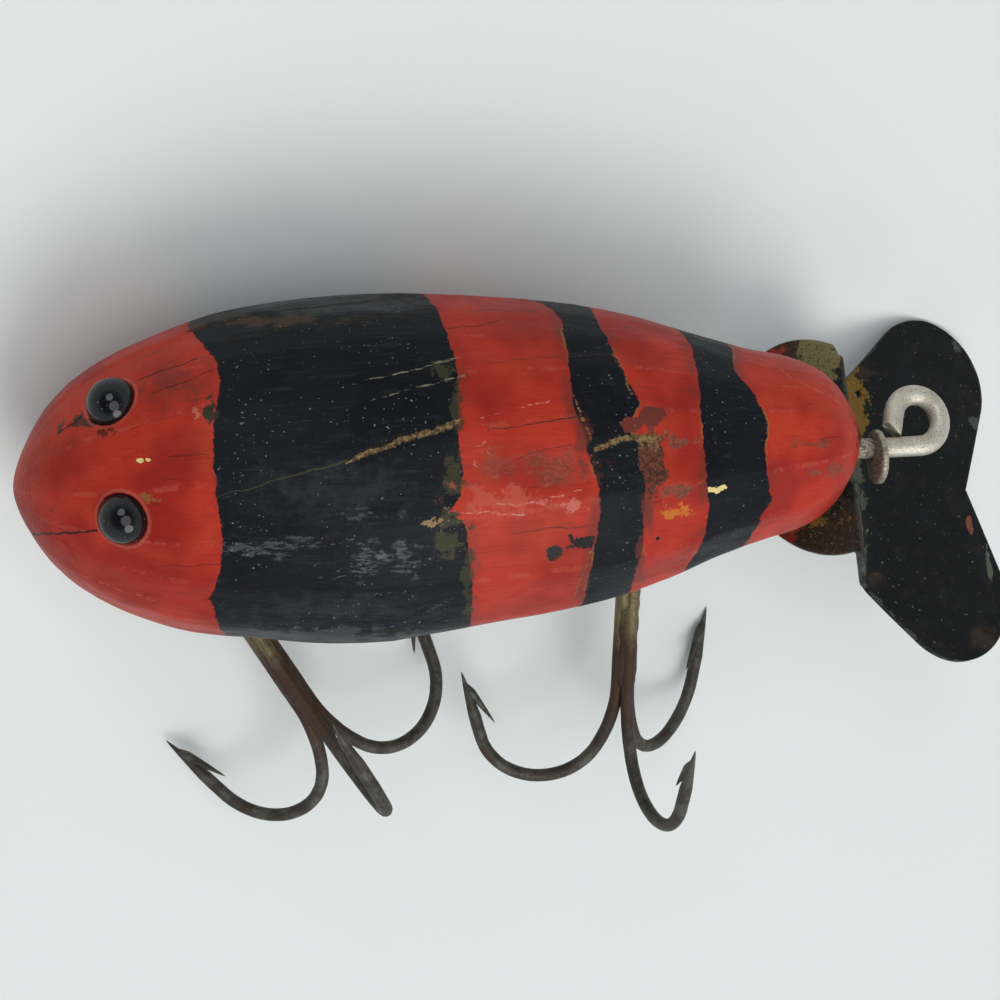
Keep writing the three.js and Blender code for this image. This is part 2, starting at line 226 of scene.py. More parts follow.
def vectorMathOf(add):
    def vectors(operation, *given):
        result = 'Value' if operation in ('LENGTH', 'DISTANCE', 'DOT_PRODUCT') else 'Vector'
        return add('VectorMath', dict(enumerate(given)), operation=operation).outputs[result]
    return vectors


# A value taken smoothly from 0 at low to 1 at high
def fadeOf(add):
    def fade(value, low, high):
        return add('MapRange', {'Value': value, 'From Min': low, 'From Max': high},
                   interpolation_type='SMOOTHSTEP').outputs[0]
    return fade


def rgb(red, green, blue):
    return (red, green, blue, 1.0)


def blendOf(add):
    def blend(factor, under, over):
        return add('Mix', {0: factor, 6: under, 7: over}, data_type='RGBA').outputs[2]
    return blend


def noiseOf(add):
    def noise(vector, scale, detail=4.0, roughness=0.55):
        inputs = {'Vector': vector, 'Scale': scale, 'Detail': detail, 'Roughness': roughness}
        return add('TexNoise', inputs).outputs
    return noise


def attribute(add, name):
    return add('Attribute', attribute_name=name).outputs['Vector']


def split(add, vector):
    return add('SeparateXYZ', {0: vector}).outputs


# An empty node group: its inputs are given by their defaults, a tuple for a vector, and its outputs by their
# kinds
def newGroup(name, inputs, outputs):
    tree = bpy.data.node_groups.new(name, 'ShaderNodeTree')
    for label, value in inputs.items():
        kind = 'NodeSocketVector' if isinstance(value, tuple) else 'NodeSocketFloat'
        tree.interface.new_socket(label, in_out='INPUT', socket_type=kind).default_value = value
    for label, kind in outputs.items():
        tree.interface.new_socket(label, in_out='OUTPUT', socket_type=kind)
    return tree, tree.nodes.new('NodeGroupInput').outputs, tree.nodes.new('NodeGroupOutput').inputs


# Shared effects

markOutputs = {'Mask': 'NodeSocketFloat', 'Place': 'NodeSocketVector'}


# Hands a place on to the next mark only when this one's mask is worked out. Otherwise Cycles works out all
# the marks side by side, runs out of the 255 values it can hold, and draws the piece black.
def handOn(tree, given, mask, out):
    tiny = (1e-6, 1e-6, 1e-6)
    place = vectorMathOf(nodeMaker(tree))('MULTIPLY_ADD', mask, tiny, given['Place'])
    tree.links.new(mask, out['Mask'])
    tree.links.new(place, out['Place'])


# A blotch: 1 inside an oval. Scale and Shift take the place to the oval as a unit circle, and what follows is
# fill = Base + Pull x noise + Drop x distance, held between 0 and 1
def blotchGroup():
    inputs = {'Place': (0, 0, 0), 'Scale': (1, 1, 1), 'Shift': (0, 0, 0), 'Noise': 0.5, 'Base': 6.0,
              'Pull': -8.0, 'Drop': -6.0}
    tree, given, out = newGroup('blotch', inputs, markOutputs)
    add = nodeMaker(tree)
    calc, vectors = mathOf(add), vectorMathOf(add)
    scaled = vectors('MULTIPLY_ADD', given['Place'], given['Scale'], given['Shift'])
    reach = vectors('LENGTH', scaled)
    edge = calc('MULTIPLY_ADD', given['Noise'], given['Pull'], given['Base'])
    handOn(tree, given, calc('MULTIPLY_ADD', reach, given['Drop'], edge, clamp=True), out)
    return tree


lineEdge = {'steepness': 2.2, 'reach': 2.3, 'ragged': 2.4}


# A line from Start along Way, where Pull is Way over its squared length; its half width grows from Width by
# Growth. fill = Ragged - steepness x distance / half width, held between 0 and 1
def crackGroup():
    inputs = {'Place': (0, 0, 0), 'Start': (0, 0, 0), 'Way': (1, 0, 0), 'Pull': (1, 0, 0), 'Width': 0.1,
              'Growth': 0.0, 'Ragged': 0.0}
    tree, given, out = newGroup('crack', inputs, markOutputs)
    add = nodeMaker(tree)
    calc, vectors = mathOf(add), vectorMathOf(add)
    reach = vectors('SUBTRACT', given['Place'], given['Start'])
    t = calc('ADD', vectors('DOT_PRODUCT', reach, given['Pull']), 0, clamp=True)
    foot = add('VectorMath', {0: given['Way'], 'Scale': t}, operation='SCALE').outputs[0]
    away = vectors('DISTANCE', reach, foot)
    width = calc('MULTIPLY_ADD', t, given['Growth'], given['Width'])
    widths = calc('DIVIDE', away, width)
    fill = calc('MULTIPLY_ADD', widths, -lineEdge['steepness'], given['Ragged'], clamp=True)
    handOn(tree, given, fill, out)
    return tree


# Noises are drawn out along the grain, which is x. A check is where one comes this near to its middle value
grainLook = {'streakDraw': (0.06, 1, 1), 'streakScale': 2.1, 'checkDraw': (0.03, 0.42, 0),
             'checkNear': (0.0008, 0.0035)}


# Long thin checks that open along the grain here and there, and fine streaks beside them
def grainGroup():
    tree, given, out = newGroup('grain', {'Swim': (0, 0, 0), 'Wrap': (0, 0, 0)},
                                {'Streak': 'NodeSocketFloat', 'Check': 'NodeSocketFloat'})
    add = nodeMaker(tree)
    calc, fade, noise, vectors = mathOf(add), fadeOf(add), noiseOf(add), vectorMathOf(add)
    drawnOut = vectors('MULTIPLY', given['Swim'], grainLook['streakDraw'])
    streak = noise(drawnOut, grainLook['streakScale'], 3, 0.66)['Fac']
    line = noise(vectors('MULTIPLY', given['Wrap'], grainLook['checkDraw']), 1.0, 2, 0.5)['Fac']
    near = calc('ABSOLUTE', calc('SUBTRACT', line, 0.5))
    tree.links.new(streak, out['Streak'])
    tree.links.new(calc('SUBTRACT', 1, fade(near, *grainLook['checkNear'])), out['Check'])
    return tree


# Small specks of dust or grit, about Spacing apart, more of them where Amount is higher:
# steepness x (noise + share x Amount - limit), held between 0 and 1
speckLook = {'share': 0.08, 'limit': 0.85, 'steepness': 25}


def speckGroup():
    tree, given, out = newGroup('specks', {'Swim': (0, 0, 0), 'Spacing': 0.5, 'Amount': 1.0},
                                {'Mask': 'NodeSocketFloat'})
    add = nodeMaker(tree)
    calc, noise = mathOf(add), noiseOf(add)
    cloud = noise(given['Swim'], calc('DIVIDE', 1, given['Spacing']), 0, 0.5)['Fac']
    thicker = calc('ADD', cloud, calc('MULTIPLY', given['Amount'], speckLook['share']))
    over = calc('SUBTRACT', thicker, speckLook['limit'])
    tree.links.new(calc('MULTIPLY', over, speckLook['steepness'], clamp=True), out['Mask'])
    return tree


# Noises of old metal: scale, detail and roughness; and the values of the grit between which it is pitted
corrosionLook = {'lumps': (2.2, 5, 0.7), 'grit': (5, 4, 0.6), 'cloud': (0.35, 4, 0.6), 'pitted': (0.34, 0.44)}


# Pits and scale of old metal: Pits is 1 in the hollows, Scale is the lumpy height, and Cloud is a slow change
# of colour
def corrosionGroup():
    kinds = {'Pits': 'NodeSocketFloat', 'Scale': 'NodeSocketFloat', 'Cloud': 'NodeSocketFloat'}
    tree, given, out = newGroup('corrosion', {'Swim': (0, 0, 0), 'Fineness': 1.0}, kinds)
    add = nodeMaker(tree)
    calc, fade, noise = mathOf(add), fadeOf(add), noiseOf(add)
    made = {}
    for name in ('lumps', 'grit', 'cloud'):
        scale, detail, roughness = corrosionLook[name]
        finer = calc('MULTIPLY', given['Fineness'], scale)
        made[name] = noise(given['Swim'], finer, detail, roughness)['Fac']
    tree.links.new(calc('SUBTRACT', 1, fade(made['grit'], *corrosionLook['pitted'])), out['Pits'])
    tree.links.new(made['lumps'], out['Scale'])
    tree.links.new(made['cloud'], out['Cloud'])
    return tree


groups = {'blotch': blotchGroup(), 'crack': crackGroup(), 'grain': grainGroup(), 'specks': speckGroup(),
          'corrosion': corrosionGroup()}


def useGroup(add, name, inputs):
    return add('Group', inputs, node_tree=groups[name]).outputs


# A material with a Principled shader: plain values stay the same all over, and shade(add) makes those that
# change over the surface, among them Height, in mm
def makeMaterial(name, shade, plain):
    material = bpy.data.materials.new(name)
    material.use_nodes = True
    tree = material.node_tree
    tree.nodes.clear()
    add = nodeMaker(tree)
    shader = add('BsdfPrincipled', plain)
    made = shade(add)
    bump = add('Bump', {'Height': made.pop('Height'), 'Distance': metresPerMm, 'Strength': 1.0})
    for key, value in {**made, 'Normal': bump.outputs[0]}.items():
        tree.links.new(value, shader.inputs[key])
    tree.links.new(shader.outputs[0], add('OutputMaterial').inputs[0])
    return material


print('shader groups made')


# The carved body

wood = {
    'length': 85,
    'fullness': [13.6, 18.8, 19.3, 18.2, 16.3, 15.4, 14.2, 16.6, 11.9],
    'sway': {'reach': 20, 'eyedEnd': -0.35, 'nose': 0.45},
    'rings': 520, 'around': 182,
    'facing': -15, 'crowding': 0.35,     # points stand closer on the side that faces up
    # the knife's flat cuts meet in these lines: turns at each place of cutsAt along the body
    'cutsAt': [20, 41, 60],
    'cuts': [(-160, -162, -163), (-132, -135, -138), (-106, -112, -118), (-79, -86, -94), (-56, -58, -60),
             (-41, -36, -31), (-20, -4, 2), (8, 15, 20), (24, 31, 37), (36.5, 44, 52), (47.5, 60, 74),
             (78, 89, 100), (112, 118, 124), (140, 144, 148), (168, 170, 172)],
    'flatness': 0.6,                     # 1 for flat cuts, 0 for a round body
    'grainDepth': 0.035, 'lumpDepth': 0.05,
    # how much fuller or leaner the body is than round, in mm, along its upper and lower outline as it lies
    'upperSwell': [(6, 0), (14, -0.45), (20, -0.3), (30, 0.05), (38, 0.4), (55, 0.3), (66, 0.2), (74, 0)],
    'lowerSwell': [(15, 0), (22, -0.4), (28, 0), (36, 0.5), (44, 0.2), (60, -0.1), (68, -0.3), (76, 0)],
    # where a chip came away, with half sizes
    'chip': {'along': 60.6, 'turn': -21, 'length': 1.5, 'width': 3.4, 'depth': 0.10},
    'arcRadius': 16,                     # turns around the body are drawn as arcs at this radius
}
beads = {'radius': 2.45, 'sunk': 0.5, 'along': [9.9, 10.4], 'turn': [21.5, -32], 'socket': 0.5,
         'rim': {'height': 0.08, 'out': 0.3, 'width': 0.22}}
tie = {'wire': 1.05, 'ringHalfLength': 2.5, 'ringHalfWidth': 2.76, 'ringAlong': 92, 'side': -0.35,
       'depth': 1.4, 'inWood': 12, 'endTurn': 135, 'cut': (89.2, 1.85), 'bevel': 0.55, 'socket': 0.9}
hanger = {'wire': 0.58, 'ring': 2.3, 'inWood': 9, 'below': 0.25, 'along': {'lip_end': 64.6, 'eye_end': 16.2},
          'turn': {'lip_end': 0, 'eye_end': 30}, 'hollow': 1.2}

# Where the painter changed colour: for each edge, the turn from the back and the place along the body
bandEdges = [
    [(-102, 19.4), (-64, 18.0), (-48, 18.9), (-38, 19.1), (-24, 18.7), (-8, 18.6), (6, 19.1), (17, 19.8),
     (26, 19.4), (51, 17.3), (100, 18.1), (180, 18.8)],
    [(-101, 43.3), (-70, 42.6), (-50, 42.0), (-36, 41.4), (-32, 39.8), (-27, 41.0), (-18, 41.3), (-9, 41.0),
     (12, 41.6), (26, 41.4), (48, 40.8), (69, 40.0), (120, 40.7), (180, 42.2)],
    [(-97, 54.3), (-62, 54.0), (-44, 54.3), (-32, 54.5), (-25, 54.2), (-10, 53.2), (4, 52.3), (26, 52.6),
     (45, 52.9), (68, 51.2), (120, 52.2), (180, 53.4)],
    [(-99, 59.2), (-63, 59.1), (-26, 59.0), (-11, 58.7), (-7, 57.3), (3, 59.0), (15, 58.0), (25, 57.4),
     (40, 56.7), (68, 57.0), (120, 58.0), (180, 58.8)],
    [(-82, 65.2), (-69, 65.7), (-45, 65.9), (-25, 65.4), (-3, 65.2), (17, 65.6), (42, 66.0), (66, 65.3),
     (120, 65.0), (180, 65.4)],
    [(-98, 71.3), (-58, 72.2), (-49, 73.0), (-36, 72.4), (-22, 72.0), (-5, 72.5), (13, 71.6), (28, 69.9),
     (50, 70.9), (120, 71.6), (180, 72.0)],
]

# Cracks wide enough to be carved: their course (along, turn), half width at each point, and depth
openCracks = [
    {'course': [(31, -14), (32, -13), (35.6, -8.5), (41.1, -4.0)], 'width': [0.1, 0.25, 0.35, 0.4],
     'depth': 0.12},
    {'course': [(54.4, -13.5), (56.7, -11), (60.2, -9.5)], 'width': [0.3, 0.4, 0.4], 'depth': 0.1},
]


# The radius is sin(a) * fullness(a), for the station angle a where x = length * (1 - cos a) / 2
def woodRadius(x):
    values = np.array(wood['fullness'])
    last = len(values) - 1
    a = np.arccos(np.clip(1 - 2 * np.asarray(x, float) / wood['length'], -1, 1))
    place = a / np.pi * last
    i = np.minimum(np.floor(place).astype(int), last - 1)
    w = place - i
    before = np.where(i > 0, values[i - 1], values[1])
    after = np.where(i + 2 <= last, values[np.minimum(i + 2, last)], values[last - 1])
    linear = (values[i + 1] - before) * w
    square = (2 * before - 5 * values[i] + 4 * values[i + 1] - after) * w ** 2
    cube = (3 * values[i] - before - 3 * values[i + 1] + after) * w ** 3
    return np.sin(a) * (values[i] + 0.5 * (linear + square + cube))


def woodSway(x):
    sway = wood['sway']
    atEyedEnd = np.maximum(1 - x / sway['reach'], 0)
    atNose = np.maximum(1 - (wood['length'] - x) / sway['reach'], 0)
    return sway['eyedEnd'] * atEyedEnd + sway['nose'] * atNose


# A point on the wood: turned from the back towards +y, and raised above the surface
def onWood(x, turn, raised=0.0):
    x, turn = np.broadcast_arrays(np.asarray(x, float), np.radians(turn))
    radius = woodRadius(x) + raised
    return np.stack([x, woodSway(x) + radius * np.sin(turn), radius * np.cos(turn)], -1)


beadPlaces = [onWood(x, turn, -beads['sunk']) for x, turn in zip(beads['along'], beads['turn'])]


def arcOf(turn):
    return np.radians(turn) * wood['arcRadius']


# Distance to a course on the unrolled surface, and the course's width there
def nearCourse(wrap, course, width):
    course = np.array([(x, arcOf(turn)) for x, turn in course])
    best = np.full(wrap.shape[:-1], 1e9)
    wide = np.zeros_like(best)
    for k in range(len(course) - 1):
        line = course[k + 1] - course[k]
        t = np.clip(((wrap[..., :2] - course[k]) @ line) / (line @ line), 0, 1)
        away = np.linalg.norm(wrap[..., :2] - course[k] - t[..., None] * line, axis=-1)
        nearer = away < best
        best = np.where(nearer, away, best)
        wide = np.where(nearer, width[k] + t * (width[k + 1] - width[k]), wide)
    return best, wide


# How far inside the black paint a point is, in mm: negative in the red
def blackness(x, turn):
    edges = []
    for edge in bandEdges:
        turns, places = np.array(sorted(edge)).T
        edges.append(np.interp(turn, turns, places, period=360))
    return np.maximum.reduce([np.minimum(x - edges[k], edges[k + 1] - x) for k in (0, 2, 4)])


# Everything under the flat on which the lip's tongue is screwed is cut away
def seatLimit(axis, radial):
    slope, skew = np.radians(lip['tongueSlope']), np.radians(-lip['skew'])
    normal = np.array([-np.sin(slope) * np.cos(skew), -np.sin(slope) * np.sin(skew), np.cos(slope)])
    start = np.array([lip['topFold']['along'], 0, -lip['topFold']['depth']]) + lip['seatGap'] * normal
    facing = radial @ normal
    limit = ((start - axis) @ normal) / np.where(facing < -1e-6, facing, -1e-6)
    return np.where(facing < -1e-6, limit, 1e9)


# Flat cuts between low ridges. A chord's middle lies radius * (1 - cos(half its angle)) inside the round: the
# ridges stand 0.6 of that above it here and the middles 0.4 below, so that the body keeps its thickness. The
# second result is 1 on a ridge and 0 in the middle of a cut
def knifeCuts(x, turn, base):
    edges = np.stack([np.interp(x.ravel(), wood['cutsAt'], cut) for cut in wood['cuts']])
    edges = np.concatenate([edges[-1:] - 360, edges, edges[:1] + 360])
    waver = 3.0 * smoothNoise(base, [26, 10, 10]) + 1.2 * smoothNoise(base + 31, [8, 5, 5])
    wavering = (turn + waver).ravel()
    number = (edges <= wavering).sum(axis=0).clip(1, len(edges) - 1)
    low, high = (np.take_along_axis(edges, n[None], 0)[0] for n in (number - 1, number))
    offCentre = (2 * (wavering - low) / (high - low) - 1).reshape(x.shape).clip(-1, 1)
    chord = woodRadius(x) * (1 - np.cos(np.radians(0.5 * (high - low).reshape(x.shape))))
    strength = wood['flatness'] + 0.2 * smoothNoise(base + 57, [26, 8, 8])
    relief = strength * chord * (0.4 * offCentre ** 2 - 0.3 * np.cos(np.pi * offCentre) - 0.1)
    return relief, np.abs(offCentre)


def outlineSwell(x, turn):
    total = 0
    for way, outline in ((1, 'upperSwell'), (-1, 'lowerSwell')):
        places, swell = zip(*wood[outline])
        near = np.cos(np.radians(turn - wood['facing'] - 90 * way)).clip(0, 1)
        total = total + near ** 1.5 * np.interp(x, places, swell, 0, 0)
    return total


# Noises drawn out along the grain, and low lumps
def grainRelief(base):
    grain = smoothNoise(base, [16, 0.9, 0.9]) + 0.6 * smoothNoise(base + 11, [9, 0.45, 0.45])
    return wood['grainDepth'] * grain + wood['lumpDepth'] * smoothNoise(base + 77, [5, 3, 3])


# How deep the open cracks are, and the rough hollow left where a chip came away
def brokenDepth(wrap, base):
    crumbs = smoothNoise(base, 0.55)
    total = 0
    for crack in openCracks:
        away, wide = nearCourse(wrap, crack['course'], crack['width'])
        inside = 1 - smoothStep(0.75, 1.5, away / np.maximum(wide + 0.15 * wide * crumbs, 0.03))
        total = total + crack['depth'] * inside * (1 + 0.35 * crumbs)
    chip = wood['chip']
    ahead, aside = wrap[..., 0] - chip['along'], wrap[..., 1] - arcOf(chip['turn'])
    fromChip = np.hypot(ahead / chip['length'], aside / chip['width']) + 0.3 * smoothNoise(base, 1.5)
    return total + chip['depth'] * (1 - smoothStep(0.75, 1.05, fromChip)) * (1 + crumbs)


# The sockets of the beads, each with a low rim of paint and glue: its height falls off as a bell curve
def beadRelief(base, toBead):
    ragged = toBead - beads['radius'] + 0.12 * smoothNoise(base, 0.9)
    rim = beads['rim']
    bell = np.exp(-((ragged - rim['out']) / rim['width']) ** 2)
    return rim['height'] * bell - beads['socket'] * (1 - smoothStep(-0.4, 0.03, ragged))


# Hollows under the belly that leave room for the hangers' rings
def ringHollows(base):
    total = 0
    for name, along in hanger['along'].items():
        spot = np.array([along, 0, -hangerDepth(name)])
        local = (base - spot) @ turnAbout('Z', hanger['turn'][name] + 90)
        toRing = np.hypot(np.hypot(local[..., 0], local[..., 2]) - hanger['ring'], local[..., 1])
        outside = smoothStep(hanger['wire'] + 0.05, hanger['wire'] + 0.5, toRing)
        total = total + hanger['hollow'] * (1 - outside)
    return total


# The body is a grid of stations along the axis and turns around it. Each point is its station's place on the
# axis + (round radius + relief) * the direction of its turn; the relief fades out at both ends
def bodyPart():
    station = np.linspace(0, np.pi, wood['rings'] + 2)[1:-1]
    t = np.linspace(-1, 1, wood['around'], endpoint=False)
    around = wood['facing'] + 180 * (t - wood['crowding'] * np.sin(np.pi * t) / np.pi)
    x, turn = np.meshgrid(0.5 * wood['length'] * (1 - np.cos(station)), around, indexing='ij')
    turn = (turn + 180) % 360 - 180
    axis = np.stack([x, woodSway(x), np.zeros_like(x)], -1)
    radial = np.stack([np.zeros_like(x), np.sin(np.radians(turn)), np.cos(np.radians(turn))], -1)
    wrap = np.stack([x, arcOf(turn), np.zeros_like(x)], -1)
    base = onWood(x, turn)

    cuts, ridge = knifeCuts(x, turn, base)
    relief = cuts + outlineSwell(x, turn) + grainRelief(base) - brokenDepth(wrap, base)
    toBead = np.minimum.reduce([np.linalg.norm(base - place, axis=-1) for place in beadPlaces])
    radius = woodRadius(x) + relief * np.minimum(1, 4 * np.sin(station)[:, None])
    radius += beadRelief(base, toBead) - ringHollows(base)
    points = axis + np.minimum(radius, seatLimit(axis, radial))[..., None] * radial

    # the line tie's shank goes in through a dent in the nose
    toTie = np.hypot(points[..., 1] - tie['side'], points[..., 2] + tie['depth'])
    atNose = smoothStep(80, 83, points[..., 0])
    points[..., 0] -= tie['socket'] * atNose * (1 - smoothStep(tie['wire'] + 0.1, tie['wire'] + 0.5, toTie))
    paint = np.stack([blackness(x, turn), toBead - beads['radius'], ridge], -1)
    poles = onWood(np.array([0, wood['length']]), 0)
    return ringPart(points, poles, wrap=wrap, paint=paint, sight=sightOf(points, radial))


def hangerDepth(name):
    return float(woodRadius(hanger['along'][name])) + hanger['below'] + hanger['ring']


# The bent sheet lip, worked out flat first: s runs from the tongue's back end over both folds to the blade's
# front, and is 0 at the first fold; v runs to the side. The folded profile then carries it into place

lip = {
    'thick': 0.9, 'skew': 2, 'bend': 0.9,
    'topFold': {'along': 85.3, 'depth': 4.4, 'side': 0.35, 'half': 10.8},
    'deepFold': {'along': 88.6, 'depth': 12.94, 'side': -0.75, 'half': 11.6},
    'tongueSlope': 22, 'bladeSlope': 20,
    'tongue': {'back': 3.2, 'side': 1.4, 'halfLength': 9, 'halfWidth': 12, 'turn': 12.6},
    'lobe': {'forward': 11.8, 'side': 11.9, 'radius': 7.7}, 'notch': 15.5,
    'drawnAside': {'by': 0.45, 'from': 2, 'to': 9},      # the blade is a little askew from here on
    'hole': {'forward': 1.7, 'side': 10.3, 'radius': 0.45},
    'columns': 130, 'tongueRows': 52, 'wallRows': 14, 'bladeRows': 84,
    'middleGap': 0.02,                   # how far the two middle columns stand from the middle line
    'dents': {'depth': 0.07, 'size': 6}, 'rim': {'width': 0.25, 'thinner': 0.3},
    'seatGap': 0.12,                     # between the tongue and the wood
}


# A fold's line in the sheet's middle plane, for a plate that slopes down by slope
def foldPlace(fold, slope):
    half = 0.5 * lip['thick']
    slope = np.radians(slope)
    return np.array([fold['along'] - half * np.sin(slope), -fold['depth'] - half * np.cos(slope)])


topPlace = foldPlace(lip['topFold'], -lip['tongueSlope'])
deepPlace = foldPlace(lip['deepFold'], lip['bladeSlope'])
wallLength = float(np.linalg.norm(deepPlace - topPlace))


# The profile: three straight stretches; within bend of a fold it is the mean of the line over +-bend,
# which adds (direction after - direction before) * (bend - distance)^2 / (4 bend)
def foldedProfile(s):
    tongue, blade = np.radians(lip['tongueSlope']), np.radians(lip['bladeSlope'])
    ways = [np.array([np.cos(tongue), np.sin(tongue)]), (deepPlace - topPlace) / wallLength,
            np.array([np.cos(blade), -np.sin(blade)])]
    place = topPlace + np.minimum(s, 0)[..., None] * ways[0]
    place = place + np.clip(s, 0, wallLength)[..., None] * ways[1]
    place = place + np.maximum(s - wallLength, 0)[..., None] * ways[2]
    for at, before, after in ((0, ways[0], ways[1]), (wallLength, ways[1], ways[2])):
        near = np.maximum(lip['bend'] - np.abs(s - at), 0) ** 2 / (4 * lip['bend'])
        place = place + near[..., None] * (after - before)
    return place


# A patch between four border curves: the two ruled surfaces added, less the one through the corners
def patch(low, high, left, right):
    u = np.linspace(0, 1, len(low))[None, :, None]
    w = np.linspace(0, 1, len(left))[:, None, None]
    ruled = (1 - w) * low[None] + w * high[None] + (1 - u) * left[:, None] + u * right[:, None]
    corners = (1 - w) * ((1 - u) * low[0] + u * low[-1]) + w * ((1 - u) * high[0] + u * high[-1])
    return ruled - corners


# The same curve with its points evenly spaced
def evenly(curve, count):
    length = np.concatenate([[0], np.linalg.norm(np.diff(curve, axis=0), axis=1).cumsum()])
    at = np.linspace(0, length[-1], count)
    return np.stack([np.interp(at, length, curve[:, k]) for k in range(2)], -1)


def arc(centre, radius, start, end, count=60):
    a = np.linspace(start, end, count)
    return np.stack([centre[0] + radius * np.cos(a), centre[1] + radius * np.sin(a)], -1)


def touchAngle(point, centre, radius, way):
    out = point - centre
    return np.arctan2(out[1], out[0]) + way * np.arccos(radius / np.linalg.norm(out))


# The blade's half towards +v, as (forward, side): its outer edge, and its front edge from the notch outwards
def bladeEdges():
    centre = np.array([lip['lobe']['forward'], lip['lobe']['side']])
    corner, notch = np.array([0, lip['deepFold']['half']]), np.array([lip['notch'], 0])
    radius = lip['lobe']['radius']
    atCorner = touchAngle(corner, centre, radius, -1) % (2 * np.pi)
    atNotch = touchAngle(notch, centre, radius, 1)
    outer = np.concatenate([corner[None], arc(centre, radius, atCorner, 0.5 * np.pi)])
    front = np.concatenate([notch[None], arc(centre, radius, atNotch, 0.5 * np.pi)])
    return outer, front


def bladePatch():
    outer, front = bladeEdges()
    half = lip['columns'] // 2
    mirror = np.array([1, -1])
    right = evenly(outer, lip['bladeRows'])
    fromNotch = evenly(front, half)
    high = np.concatenate([(fromNotch * mirror)[::-1], fromNotch])
    side = np.linspace(0, lip['deepFold']['half'], half)
    low = np.stack([np.zeros(2 * half), np.concatenate([-side[::-1], side])], -1)
    apart = np.where(np.arange(2 * half) < half, -lip['middleGap'], lip['middleGap'])
    for border in (low, high):
        border[:, 1] += apart * (np.abs(border[:, 1]) < 0.01)
    grid = patch(low, high, right * mirror, right)
    aside = lip['drawnAside']
    grid[..., 1] += lip['deepFold']['side']
    grid[..., 1] += aside['by'] * smoothStep(aside['from'], aside['to'], grid[..., 0])
    return grid


# The tongue is the part of a turned oval behind the fold: its grid runs between the fold and the oval's back
def tonguePatch():
    shape, fold = lip['tongue'], lip['topFold']
    a = np.linspace(0, 2 * np.pi, 721)
    cosine, sine = np.cos(np.radians(shape['turn'])), np.sin(np.radians(shape['turn']))
    forward, side = shape['halfLength'] * np.cos(a), shape['halfWidth'] * np.sin(a)
    rim = np.stack([forward * cosine - side * sine - shape['back'],
                    forward * sine + side * cosine + shape['side']], -1)
    behind = rim[rim[:, 0] < -0.5 * lip['thick']]
    quarter = len(behind) // 5
    right = np.concatenate([[[0, fold['side'] + fold['half']]], behind[:quarter]])
    left = np.concatenate([[[0, fold['side'] - fold['half']]], behind[::-1][:quarter]])
    low = np.stack([np.zeros(lip['columns']),
                    fold['side'] + fold['half'] * np.linspace(-1, 1, lip['columns'])], -1)
    high = evenly(behind[quarter - 1:len(behind) - quarter + 1][::-1], lip['columns'])
    return patch(low, high, evenly(left, lip['tongueRows']), evenly(right, lip['tongueRows']))[::-1]


# The flat sheet as a grid of (s, v), a row for each s
def sheetGrid():
    w = np.linspace(0, 1, lip['wallRows'] + 2)[1:-1, None]
    blade, tongue = bladePatch(), tonguePatch()
    wall = np.stack([np.broadcast_to(w * wallLength, (len(w), lip['columns'])),
                     (1 - w) * tongue[-1, :, 1] + w * blade[0, :, 1]], -1)
    blade[..., 0] += wallLength
    return np.concatenate([tongue, wall, blade])


# The turn askew about the upright through the top fold
def askew(points):
    pivot = np.array([lip['topFold']['along'], 0, 0])
    return (points - pivot) @ turnAbout('Z', -lip['skew']).T + pivot


# The border of a patch of cells, as one loop of points
def borderLoop(quads):
    sides = {tuple(pair) for quad in quads for pair in zip(quad, np.roll(quad, -1))}
    after = {a: b for a, b in sides if (b, a) not in sides}
    loop = [min(after)]
    while after[loop[-1]] != loop[0]:
        loop.append(after[loop[-1]])
    return np.array(loop)


# The folded middle surface of the sheet at points (s, v), dented by a noise, and its normals
def foldedSheet(points):
    step = 0.01
    place = foldedProfile(points[:, 0])
    tangent = unit(foldedProfile(points[:, 0] + step) - foldedProfile(points[:, 0] - step))
    middle = np.stack([place[:, 0], points[:, 1], place[:, 1]], -1)
    normal = np.stack([-tangent[:, 1], np.zeros(len(points)), tangent[:, 0]], -1)
    dents = lip['dents']
    return middle + normal * (dents['depth'] * smoothNoise(middle, dents['size']))[:, None], normal


